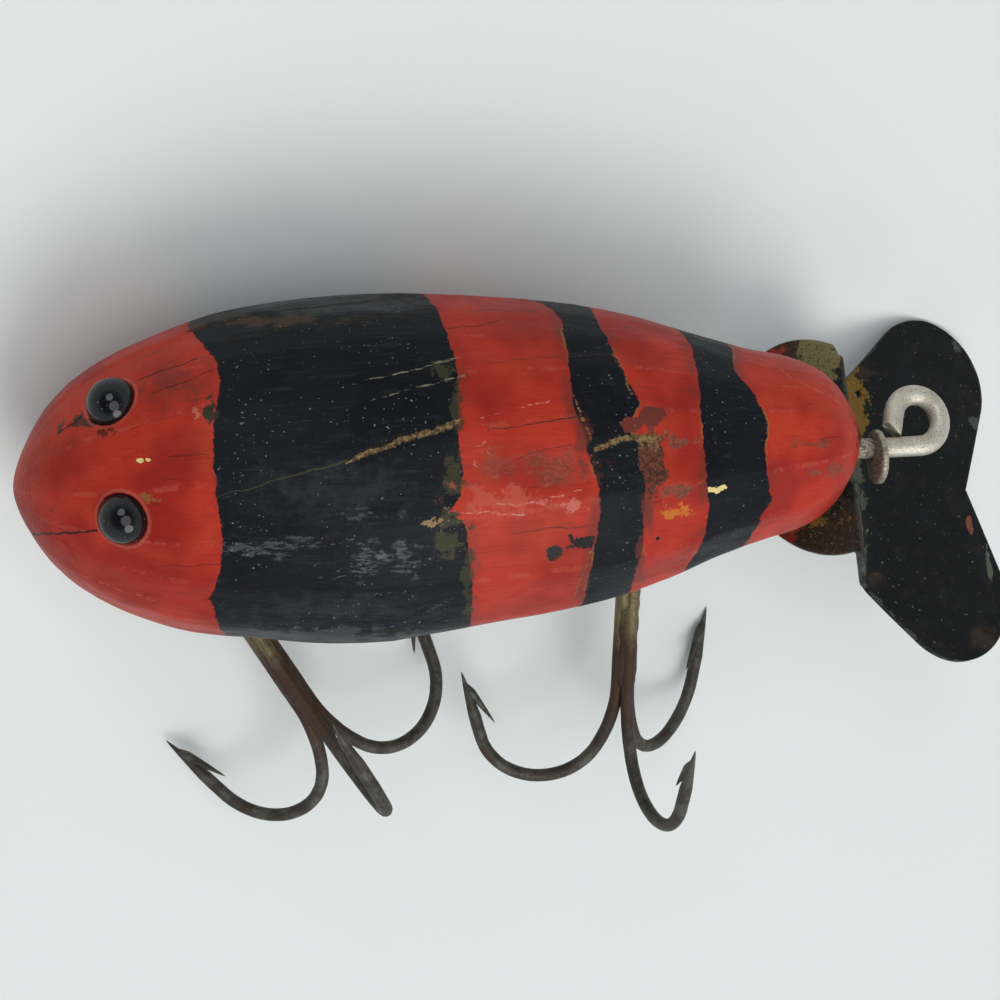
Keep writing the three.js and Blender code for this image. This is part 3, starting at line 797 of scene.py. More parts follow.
# The sheet is its middle surface + and - half its thickness along the normal, closed along its border and
# round the hole; near the border both faces come down a little, as a worn rim does
def lipPart():
    flat = sheetGrid()
    rows, columns = flat.shape[:2]
    hole = np.array([wallLength + lip['hole']['forward'], lip['deepFold']['side'] + lip['hole']['side']])
    quads = cells(rows, columns, closed=False)
    points = flat.reshape(-1, 2)
    inHole = np.linalg.norm(points[quads].mean(axis=1) - hole, axis=1) < lip['hole']['radius']
    holeRim = np.intersect1d(quads[inHole], quads[~inHole])
    points[holeRim] = hole + lip['hole']['radius'] * unit(points[holeRim] - hole)
    middle, normal = foldedSheet(points)

    border = np.concatenate([np.arange(columns), np.arange(1, rows) * columns + columns - 1,
                             (rows - 1) * columns + np.arange(columns - 1)[::-1],
                             np.arange(1, rows - 1)[::-1] * columns])
    edge = np.linalg.norm(points[:, None] - points[border][None], axis=-1).min(axis=1)
    rim = lip['rim']
    half = 0.5 * lip['thick'] * (1 - rim['thinner'] * (1 - np.minimum(edge / rim['width'], 1)) ** 2)
    count = len(points)
    corners = [np.concatenate([quads[~inHole], quads[~inHole][:, ::-1] + count])]
    for loop, way in ((border, 1), (borderLoop(quads[inHole]), -1)):
        after = np.roll(loop, -1)
        corners.append(np.stack([loop, loop + count, after + count, after], -1)[:, ::way])
    used, faces = np.unique(np.concatenate(corners), return_inverse=True)
    both = askew(np.concatenate([middle + normal * half[:, None], middle - normal * half[:, None]]))
    values = np.concatenate([np.concatenate([points, np.full((count, 1), face)], 1) for face in (1, -1)])
    edges = np.repeat(np.concatenate([edge, edge])[:, None], 3, 1)
    return {'points': both[used], 'faces': faces.reshape(-1, 4).tolist(), 'wrap': values[used],
            'edge': edges[used]}


# Small metal parts

washer = {'radius': 2.8, 'thick': 1.2, 'rim': 0.4, 'along': 87.2, 'side': -1.3, 'boreGap': 0.1,
          'uneven': 0.04, 'around': 72, 'across': 14}
lipScrew = {'back': 6, 'side': 5, 'head': 1.9, 'headHeight': 1.0, 'shank': 0.9, 'length': 7, 'pitch': 0.9,
            'point': 2.5, 'slot': {'width': 0.6, 'depth': 0.5}}


# A bead: place + radius * (cos a * out + sin a * (cos b * ahead + sin b * aside)), with its poles in and out
def beadPart(place):
    a = np.linspace(0, np.pi, 38)[1:-1, None]
    b = np.linspace(0, 2 * np.pi, 64, endpoint=False)[None]
    out = unit(place - np.array([place[0], 0, 0]))
    aside = np.cross(out, xAxis)
    ball = (np.cos(a) * np.ones_like(b))[..., None] * out
    ball = ball + (np.sin(a) * np.cos(b))[..., None] * xAxis + (np.sin(a) * np.sin(b))[..., None] * aside
    poles = np.stack([place + beads['radius'] * out, place - beads['radius'] * out])
    return ringPart(place + beads['radius'] * ball, poles)


# The line's screw eye: shank along x, then the ring side + half * (1 + sin a), along + half * cos a, and a
# cubic from the ring's end to the wire's cut end, beside the shank
def tiePart():
    a = np.radians(np.linspace(-90, tie['endTurn'], 130))
    ring = np.stack([tie['ringAlong'] + tie['ringHalfLength'] * np.cos(a),
                     tie['side'] + tie['ringHalfWidth'] * (1 + np.sin(a)),
                     np.full(len(a), -tie['depth'])], -1)
    t = np.linspace(0, 1, 40)[1:, None]
    ease = 2.6
    start, startWay = ring[-1], ease * unit(ring[-1] - ring[-2])
    end = np.array([tie['cut'][0], tie['side'] + tie['cut'][1], -tie['depth']])
    endWay = ease * unit(np.array([-0.3, -1, 0]))
    back = ((2 * t ** 3 - 3 * t ** 2 + 1) * start + (t ** 3 - 2 * t ** 2 + t) * startWay
            + (3 * t ** 2 - 2 * t ** 3) * end + (t ** 3 - t ** 2) * endWay)
    shank = np.linspace(wood['length'] - tie['inWood'], tie['ringAlong'], 60, endpoint=False)
    shank = np.stack([shank, np.full(60, tie['side']), np.full(60, -tie['depth'])], -1)
    path = np.concatenate([shank, ring, back])
    rings = sweep(path, zAxis, tie['wire'], 40)

    # the cut is slanting: the last rings lean forward on one side
    lastWay = unit(path[-1] - path[-2])
    across = (rings[-1] - path[-1]) @ unit(np.cross(zAxis, path[-1] - path[-2]))
    rings[-6:] += (tie['bevel'] * across[None, :, None] * np.linspace(0.1, 1, 6)[:, None, None]) * lastWay
    ends = path[[0, -1]] + np.array([[0, 0, 0], 0.02 * lastWay])
    return ringPart(roughened(rings, path, 0.025, [3, 1.5, 1.5]), ends)


# The washer: from its bore, which is off centre, to its rim, and back on the other face. Half its thickness
# is 0.5 * (rim + (thick - rim) * sqrt(1 - reach ^ 2.5)), where reach goes from 0 in the middle to 1 at the rim
def washerPart():
    a = np.linspace(0, 2 * np.pi, washer['around'], endpoint=False)
    circle = np.stack([np.cos(a), np.sin(a)], -1)
    bore = circle * (tie['wire'] + washer['boreGap']) + np.array([tie['side'] - washer['side'], 0])
    t = np.linspace(0, 1, washer['across'])
    face = np.repeat([-1, 1], len(t))[:, None]
    t = np.concatenate([t, t[::-1]])[:, None, None]
    flat = (1 - t) * bore + t * washer['radius'] * circle
    reach = np.linalg.norm(flat, axis=-1) / washer['radius']
    bulge = np.sqrt(np.maximum(1 - reach ** 2.5, 0))
    height = face * 0.5 * (washer['rim'] + (washer['thick'] - washer['rim']) * bulge)
    points = np.stack([washer['along'] + height, washer['side'] + flat[..., 0],
                       flat[..., 1] - tie['depth']], -1)
    points += washer['uneven'] * smoothNoise(points, 1.3)[..., None] * xAxis
    quads = cells(*points.shape[:2], closedRows=True)
    return {'points': points.reshape(-1, 3), 'faces': quads.tolist()}


# A lip screw: a domed head with a slot, and its shank, drawn with the head down at the tongue's far face. The
# head's height is headHeight * sqrt(1 - r ^ 2), and the shank's radius follows a cosine for its thread
def lipScrewParts(side):
    a = np.linspace(0, 2 * np.pi, 48, endpoint=False)
    r = np.concatenate([np.linspace(0.04, 0.97, 22), [1.0, 1.0, 0.9]])
    height = np.sqrt(np.maximum(1 - np.minimum(r, 1) ** 2, 0)) * lipScrew['headHeight']
    height[-1] = -0.05
    flat = r[:, None, None] * lipScrew['head'] * np.stack([np.cos(a), np.sin(a)], -1)
    slot, soft = lipScrew['slot'], 0.06
    inSlot = 1 - smoothStep(0.5 * slot['width'] - soft, 0.5 * slot['width'] + soft, np.abs(flat[..., 1]))
    z = -height[:, None] + slot['depth'] * inSlot * smoothStep(0.02, 0.3, height)[:, None]
    head = ringPart(np.concatenate([flat, z[..., None]], -1), np.array([[0, 0, z[0].mean()], [0, 0, 0.05]]))

    down = np.linspace(0, lipScrew['length'], 90)
    thread = lipScrew['shank'] * (1 - 0.12 * (0.5 + 0.5 * np.cos(2 * np.pi * down / lipScrew['pitch'])))
    thread *= np.clip((lipScrew['length'] - down) / lipScrew['point'], 0.05, 1)
    path = (down[:, None] - 0.2) * zAxis
    shank = ringPart(sweep(path, xAxis, thread, 20), path[[0, -1]])
    slope = turnAbout('Y', -lip['tongueSlope'])
    lift = np.array([-lipScrew['back'], 0, -0.5 * lip['thick'] - 0.02])
    for part in (head, shank):
        part['points'] = askew((part['points'] + lift) @ slope.T + np.array([topPlace[0], side, topPlace[1]]))
    return [head, shank]


# A hanger: a ring of wire, ring * out + wire * (cos b * out + sin b * y), and its shank straight up into
# the wood
def hangerParts(name):
    a = np.linspace(0, 2 * np.pi, 72, endpoint=False)
    out = np.stack([np.cos(a), 0 * a, np.sin(a)], -1)[:, None]
    b = np.linspace(0, 2 * np.pi, 20, endpoint=False)[None, :, None]
    rings = hanger['ring'] * out + hanger['wire'] * (np.cos(b) * out + np.sin(b) * yAxis)
    torus = {'points': rings.reshape(-1, 3), 'faces': cells(*rings.shape[:2], closedRows=True).tolist()}
    up = np.linspace(hanger['ring'], hanger['ring'] + hanger['inWood'], 60)
    path = up[:, None] * zAxis
    thread = hanger['wire'] * (1 - 0.1 * np.cos(9 * up))
    parts = [torus, ringPart(sweep(path, xAxis, thread, 16), path[[0, -1]])]
    turned = turnAbout('Z', hanger['turn'][name] + 90)
    for part in parts:
        part['points'] = part['points'] @ turned.T + np.array([hanger['along'][name], 0, -hangerDepth(name)])
    return parts


# The treble hooks. They lie on the surface, so their headings are counted in the frame's own axes

treble = {
    'wire': 0.72, 'bundle': 0.82, 'core': 1.2, 'eye': 2.3, 'link': 2.8, 'straight': 21.0,
    'flareRadius': 16.2, 'flareTurn': 30, 'bendRadius': 7.1, 'bendTurn': 134.4, 'leg': 8.9, 'taper': 6.2,
    'barbBack': 1.6, 'barbLength': 6.2, 'barbLean': 18.5, 'tailLength': 11, 'tailOffset': 1.42,
    'sharpness': 0.75,                   # the power by which points and barbs thin out
}
hooksLie = {
    'lip_end': {'heading': -0.6, 'dip': -3.4, 'spin': 167.8, 'fan': [0, 106, 231]},
    'eye_end': {'heading': 29.9, 'dip': -17.6, 'spin': 32.2, 'fan': [0, 120, 249]},
}


# One hook in its own plane: the shank, an arc that flares out, the bend, and the leg up to the point
def hookPath():
    pieces = [np.array([[treble['bundle'], treble['eye']]])]
    down = np.linspace(treble['eye'], treble['straight'], 60)[1:]
    pieces.append(np.stack([np.full(len(down), treble['bundle']), down], -1))
    turn = 0
    for radius, turnBy, count in ((treble['flareRadius'], treble['flareTurn'], 24),
                                  (treble['bendRadius'], treble['bendTurn'], 60)):
        first, a = np.radians(turn), np.radians(turn + np.linspace(0, turnBy, count)[1:])
        curve = np.stack([np.cos(first) - np.cos(a), np.sin(a) - np.sin(first)], -1)
        pieces.append(pieces[-1][-1] + radius * curve)
        turn += turnBy
    way = np.array([np.sin(np.radians(turn)), np.cos(np.radians(turn))])
    pieces.append(pieces[-1][-1] + np.linspace(0, treble['leg'], 44)[1:, None] * way)
    flat = np.concatenate(pieces)
    return np.stack([flat[:, 0], np.zeros(len(flat)), -flat[:, 1]], -1), np.array([way[0], 0, -way[1]])


# A swept wire; reach is how far down the hook each ring is, in mm, for the finish that changes along it
def hookWire(path, radius, sides, reach, rough=0.0, across=None):
    rings = roughened(sweep(path, yAxis, radius, sides, across), path, rough, [2.2, 0.9, 0.9])
    return ringPart(rings, path[[0, -1]], reach=np.broadcast_to(reach[:, None, None], rings.shape))


# A hook's wire, thinned out to its point, and the barb: a sliver that leaves the wire by barbLean
def hookParts():
    path, way = hookPath()
    length = np.concatenate([[0], np.linalg.norm(np.diff(path, axis=0), axis=1).cumsum()])
    toPoint = length[-1] - length
    radius = treble['wire'] * np.clip((toPoint + 0.05) / treble['taper'], 0, 1) ** treble['sharpness']
    radius[0] *= 0.6
    hook = hookWire(path, radius, 22, length, rough=0.03)
    t = np.linspace(0, 1, 16)
    root = path[-1] - treble['barbBack'] * way
    barb = root + treble['barbLength'] * t[:, None] * (turnAbout('Y', treble['barbLean']) @ -way)
    thick = 0.95 * treble['wire'] * (1 - t) ** treble['sharpness'] * np.minimum(1, 0.3 + 3 * t) + 0.03
    sliver = hookWire(barb, 0.8 * thick, 14, length[-1] - treble['barbBack'] - 3 * t, across=thick)
    return [hook, sliver]


# Three hooks round an axis that points down, the solder between their shanks, the eye, and the end of the
# wire that is bent into the eye
def trebleParts(name):
    lie = hooksLie[name]
    parts = []
    for turn in lie['fan']:
        for part in hookParts():
            part['points'] = part['points'] @ turnAbout('Z', turn).T
            parts.append(part)
    down = np.linspace(treble['eye'] + 0.4, treble['straight'] + 1.2, 70)
    solder = treble['core'] * np.clip((treble['straight'] + 1.6 - down) / 2.2, 0.2, 1)
    parts.append(hookWire(-down[:, None] * zAxis, solder, 20, down, rough=0.12))
    a = np.radians(np.linspace(-84, 264, 90))
    ring = treble['eye'] * np.stack([np.cos(a), 0 * a, np.sin(a)], -1)
    parts.append(hookWire(ring, treble['wire'], 18, 0 * a, rough=0.03))
    down = np.linspace(1.15 * treble['eye'], treble['tailLength'], 40)
    tail = treble['tailOffset'] * xAxis - down[:, None] * zAxis
    rounded = np.clip((treble['tailLength'] + 0.15 - down) / 0.8, 0.35, 1)
    wire = hookWire(tail, treble['wire'] * rounded, 18, down, rough=0.05)
    wire['points'] = wire['points'] @ turnAbout('Z', 0.5 * lie['fan'][1]).T
    parts.append(wire)

    heading, dip = np.radians(lie['heading']), np.radians(lie['dip'])
    away = np.array([np.cos(dip) * np.sin(heading), -np.cos(dip) * np.cos(heading), -np.sin(dip)])
    hangsAt = toFrame(np.array([hanger['along'][name], 0, -hangerDepth(name)])) / metresPerMm
    turned = turnAbout('Z', lie['heading']) @ turnAbout('X', lie['dip'] - 90) @ turnAbout('Z', lie['spin'])
    for part in parts:
        placed = part['points'] @ turned.T + hangsAt + treble['link'] * away
        part['points'] = placed @ lyingTurn + spotPlace()
    return parts


# Materials

# Coats laid over one another: each new one shows where its mask is 1, and adds its own height there, in mm
class Coats:
    def __init__(self, add, colour, roughness, height, metal=None):
        self.calc, self.blend = mathOf(add), blendOf(add)
        self.colour, self.roughness, self.height, self.metal = colour, roughness, height, metal

    def mixed(self, mask, under, over):
        return self.calc('ADD', under, self.calc('MULTIPLY', mask, self.calc('SUBTRACT', over, under)))

    def lay(self, mask, colour=None, roughness=None, height=None, metal=None):
        if colour is not None:
            self.colour = self.blend(mask, self.colour, colour)
        if roughness is not None:
            self.roughness = self.mixed(mask, self.roughness, roughness)
        if height is not None:
            self.height = self.calc('ADD', self.height, self.calc('MULTIPLY', mask, height))
        if self.metal is not None and metal is not None:
            self.metal = self.mixed(mask, self.metal, metal)

    def sockets(self):
        made = {'Base Color': self.colour, 'Roughness': self.roughness, 'Height': self.height}
        return made if self.metal is None else {**made, 'Metallic': self.metal}


# How strongly a mark covers: less with a cover under 1, and only in places where it is broken
def strengthOf(coats, mask, mark, gaps):
    if 'cover' in mark:
        mask = coats.calc('MULTIPLY', mask, mark['cover'])
    return coats.calc('MULTIPLY', mask, gaps) if mark.get('broken') else mask


# Lays a list of marks, each an oval at a place with its own colour. Its edge is ragged by the noise and soft
# over a share of its size. The place comes back for the next marks
def layMarks(add, coats, marks, colours, place, noise, gaps=1.0):
    for mark in marks:
        ragged, soft = mark.get('ragged', 1.5), mark.get('soft', 0.15)
        scale = 1 / np.array((*mark['size'], 1.0))
        centre = np.array((*mark['at'], mark.get('face', 0.0)))
        spot = useGroup(add, 'blotch', {
            'Place': place, 'Scale': tuple(scale), 'Shift': tuple(-scale * centre), 'Noise': noise,
            'Base': (1 + 0.5 * ragged) / soft, 'Pull': -ragged / soft, 'Drop': -1 / soft})
        place = spot['Place']
        coats.lay(strengthOf(coats, spot['Mask'], mark, gaps), colours[mark['colour']], mark.get('rough'),
                  mark.get('height'), mark.get('metal'))
    return place


# Lays lines, each through several places with a half width at each
def layLines(add, coats, lines, colours, place, noise, gaps):
    steepness = lineEdge['steepness']
    ragged = coats.calc('SUBTRACT', steepness * lineEdge['reach'],
                        coats.calc('MULTIPLY', noise, steepness * lineEdge['ragged']))
    for line in lines:
        mask = None
        course, width = [np.array((*spot, 0.0)) for spot in line['course']], line['width']
        for k in range(len(course) - 1):
            way = course[k + 1] - course[k]
            piece = useGroup(add, 'crack', {
                'Place': place, 'Start': tuple(course[k]), 'Way': tuple(way),
                'Pull': tuple(way / (way @ way)), 'Width': width[k], 'Growth': width[k + 1] - width[k],
                'Ragged': ragged})
            place = piece['Place']
            mask = piece['Mask'] if mask is None else coats.calc('MAXIMUM', mask, piece['Mask'])
        coats.lay(strengthOf(coats, mask, line, gaps), colours[line['colour']])


paintColours = {
    'red': rgb(0.40, 0.028, 0.014), 'deepRed': rgb(0.27, 0.015, 0.009), 'paleRed': rgb(0.50, 0.10, 0.07),
    'orange': rgb(0.44, 0.045, 0.018), 'dullRed': rgb(0.13, 0.026, 0.018),
    'black': rgb(0.0030, 0.0047, 0.0070), 'blueBlack': rgb(0.0020, 0.0023, 0.0052),
    'darkBlueGrey': rgb(0.020, 0.025, 0.029), 'olive': rgb(0.035, 0.033, 0.016),
    'ochre': rgb(0.24, 0.155, 0.065), 'tan': rgb(0.22, 0.10, 0.03), 'brown': rgb(0.075, 0.045, 0.020),
    'scab': rgb(0.24, 0.055, 0.034), 'smear': rgb(0.48, 0.13, 0.02), 'cream': rgb(0.70, 0.54, 0.22),
    'pink': rgb(0.52, 0.17, 0.13), 'pale': rgb(0.17, 0.16, 0.11), 'dirt': rgb(0.012, 0.009, 0.006),
    'ink': rgb(0.008, 0.006, 0.006), 'dust': rgb(0.13, 0.145, 0.15), 'darkOlive': rgb(0.030, 0.026, 0.015),
    'crust': rgb(0.060, 0.022, 0.014), 'bark': rgb(0.135, 0.042, 0.026), 'sheenGrey': rgb(0.055, 0.057, 0.060),
    'chalk': rgb(0.24, 0.25, 0.24),
}

# Damage deep enough to show in the relief, by where it is seen in the photo's view: half sizes, colour, and
# the height in mm or rugged. cover is how much a mark hides, and a broken one has gaps
damageMarks = [
    {'at': (56.0, 46.9), 'size': (4.8, 2.4), 'colour': 'grainyScab', 'ragged': 1.2, 'soft': 0.9,
     'cover': 0.75, 'height': 'rugged'},
    {'at': (49.6, 46.8), 'size': (4.2, 2.0), 'colour': 'grainyScab', 'ragged': 1.6, 'soft': 0.9, 'cover': 0.6,
     'height': 'rugged'},
    {'at': (65.1, 45.9), 'size': (1.5, 3.3), 'colour': 'grainyBark', 'ragged': 1.2, 'rough': 0.8,
     'height': 'rugged'},
    {'at': (68.0, 49.0), 'size': (1.7, 0.7), 'colour': 'grainyScab', 'ragged': 1.8, 'height': 'rugged'},
    {'at': (71.4, 48.9), 'size': (0.9, 0.34), 'colour': 'cream', 'ragged': 2.4, 'rough': 0.4,
     'height': -0.06},
]

# Marks that are only colour; some are painted sheen on the black band, and one is a painted highlight in the
# red
woodMarks = [
    {'at': (17.4, 38.2), 'size': (4.4, 2.6), 'colour': 'dullRed', 'soft': 0.9, 'cover': 0.6},
    {'at': (20.7, 41.4), 'size': (0.7, 1.2), 'colour': 'darkOlive', 'ragged': 2.6, 'soft': 0.3},
    {'at': (19.7, 41.4), 'size': (0.28, 0.5), 'colour': 'pink', 'ragged': 3.0, 'soft': 0.4, 'cover': 0.6},
    # painted sheen: a grey strip along the black band's upper outline
    {'at': (31.5, 30.4), 'size': (12.5, 1.3), 'colour': 'sheenGrey', 'ragged': 0.6, 'soft': 0.6, 'cover': 0.6},
    {'at': (27.5, 54.8), 'size': (6.0, 1.0), 'colour': 'dust', 'ragged': 2.4, 'soft': 0.5, 'cover': 0.35,
     'broken': True},
    {'at': (37.8, 56.0), 'size': (4.6, 1.5), 'colour': 'dust', 'ragged': 2.4, 'soft': 0.5, 'cover': 0.45,
     'broken': True},
    {'at': (36.5, 51.4), 'size': (2.6, 0.9), 'colour': 'dust', 'ragged': 2.6, 'soft': 0.5, 'cover': 0.4,
     'broken': True},
    # painted sheen: a soft pale-blue haze over the middle and lower black band
    {'at': (33.0, 49.3), 'size': (10.0, 3.4), 'colour': 'darkBlueGrey', 'ragged': 2.0, 'soft': 0.9, 'cover': 0.5},
    # painted sheen: the black band made greyer towards its lower outline
    {'at': (34.0, 60.8), 'size': (10.5, 1.6), 'colour': 'darkBlueGrey', 'ragged': 1.6, 'soft': 0.9, 'cover': 0.6},
    # painted sheen: a grey strip along the black band's lower outline
    {'at': (31.0, 63.6), 'size': (11.0, 0.8), 'colour': 'sheenGrey', 'ragged': 2.0, 'soft': 0.5, 'cover': 0.6},
    {'at': (14.05, 46.1), 'size': (0.32, 0.2), 'colour': 'cream', 'ragged': 1.6},
    {'at': (14.8, 46.0), 'size': (0.24, 0.2), 'colour': 'cream', 'ragged': 1.6},
    {'at': (8.5, 42.4), 'size': (1.6, 0.7), 'colour': 'darkOlive', 'ragged': 3.2, 'soft': 0.4, 'cover': 0.85},
    {'at': (11.0, 43.2), 'size': (1.4, 0.4), 'colour': 'dirt', 'ragged': 3.6, 'soft': 0.5, 'cover': 0.7},
    {'at': (14.9, 50.0), 'size': (0.7, 0.5), 'colour': 'tan', 'ragged': 3.4, 'soft': 0.4, 'cover': 0.8},
    {'at': (27.0, 32.0), 'size': (8.0, 0.8), 'colour': 'darkOlive', 'ragged': 1.4, 'cover': 0.8, 'soft': 0.5},
    {'at': (25.5, 32.2), 'size': (5.0, 0.5), 'colour': 'crust', 'ragged': 3.4, 'cover': 0.6, 'soft': 0.5},
    {'at': (44.6, 37.0), 'size': (1.2, 1.1), 'colour': 'olive', 'ragged': 2.2, 'soft': 0.3},
    {'at': (45.7, 41.0), 'size': (0.55, 3.4), 'colour': 'olive', 'ragged': 2.2, 'soft': 0.4, 'cover': 0.8},
    {'at': (45.4, 53.5), 'size': (1.4, 2.4), 'colour': 'olive', 'ragged': 2.2, 'soft': 0.3},
    {'at': (46.7, 58.5), 'size': (0.6, 3.4), 'colour': 'olive', 'ragged': 2.2, 'soft': 0.4, 'cover': 0.8},
    {'at': (45.7, 47.8), 'size': (0.9, 2.6), 'colour': 'olive', 'ragged': 2.6, 'soft': 0.4, 'cover': 0.8},
    {'at': (42.7, 52.1), 'size': (0.8, 0.45), 'colour': 'ochre', 'ragged': 3.4},
    {'at': (47.4, 46.0), 'size': (0.7, 1.0), 'colour': 'pink', 'ragged': 4.4, 'cover': 0.5},
    {'at': (50.3, 50.0), 'size': (3.6, 1.6), 'colour': 'paleRed', 'ragged': 2.6, 'soft': 0.6, 'cover': 0.5},
    # painted highlight: a pale pink spot below a raised edge in the red
    {'at': (55.6, 50.5), 'size': (1.6, 0.45), 'colour': 'pink', 'ragged': 4.0, 'soft': 0.5, 'cover': 0.6},
    {'at': (58.5, 44.5), 'size': (0.9, 4.2), 'colour': 'dullRed', 'ragged': 1.8, 'soft': 0.6, 'cover': 0.6},
    {'at': (55.45, 55.3), 'size': (0.95, 0.85), 'colour': 'ink', 'ragged': 0.8, 'rough': 0.3},
    {'at': (56.8, 54.7), 'size': (0.8, 0.4), 'colour': 'ink', 'ragged': 2.8, 'rough': 0.3},
    {'at': (57.1, 53.8), 'size': (0.3, 0.6), 'colour': 'ink', 'ragged': 1.6},
    {'at': (58.0, 54.5), 'size': (0.9, 0.5), 'colour': 'ink', 'ragged': 4.2},
    {'at': (63.2, 42.6), 'size': (1.1, 0.9), 'colour': 'dullRed', 'ragged': 0.7},
    {'at': (65.2, 41.6), 'size': (1.5, 1.1), 'colour': 'dullRed', 'ragged': 0.8},
    {'at': (64.9, 44.0), 'size': (1.4, 0.6), 'colour': 'grainyOchre', 'ragged': 4.2, 'cover': 0.8},
    {'at': (67.8, 44.3), 'size': (1.6, 0.4), 'colour': 'grainyScab', 'ragged': 3.0},
    {'at': (67.6, 51.2), 'size': (1.3, 0.55), 'colour': 'smear', 'ragged': 4.0, 'soft': 0.5},
    {'at': (65.8, 53.8), 'size': (0.22, 0.2), 'colour': 'ink', 'ragged': 0.8},
    {'at': (64.7, 51.0), 'size': (0.6, 1.9), 'colour': 'dullRed', 'ragged': 1.0, 'soft': 0.4, 'cover': 0.75},
    {'at': (64.0, 55.6), 'size': (0.5, 3.4), 'colour': 'dullRed', 'ragged': 1.0, 'soft': 0.4, 'cover': 0.75},
    {'at': (80.9, 44.4), 'size': (1.3, 0.4), 'colour': 'grainyScab', 'ragged': 3.4, 'cover': 0.7},
    {'at': (82.2, 47.1), 'size': (1.4, 0.45), 'colour': 'grainyScab', 'ragged': 3.8, 'cover': 0.7},
    {'at': (86.4, 43.4), 'size': (0.7, 1.8), 'colour': 'dirt', 'ragged': 2.0, 'soft': 0.4},
]

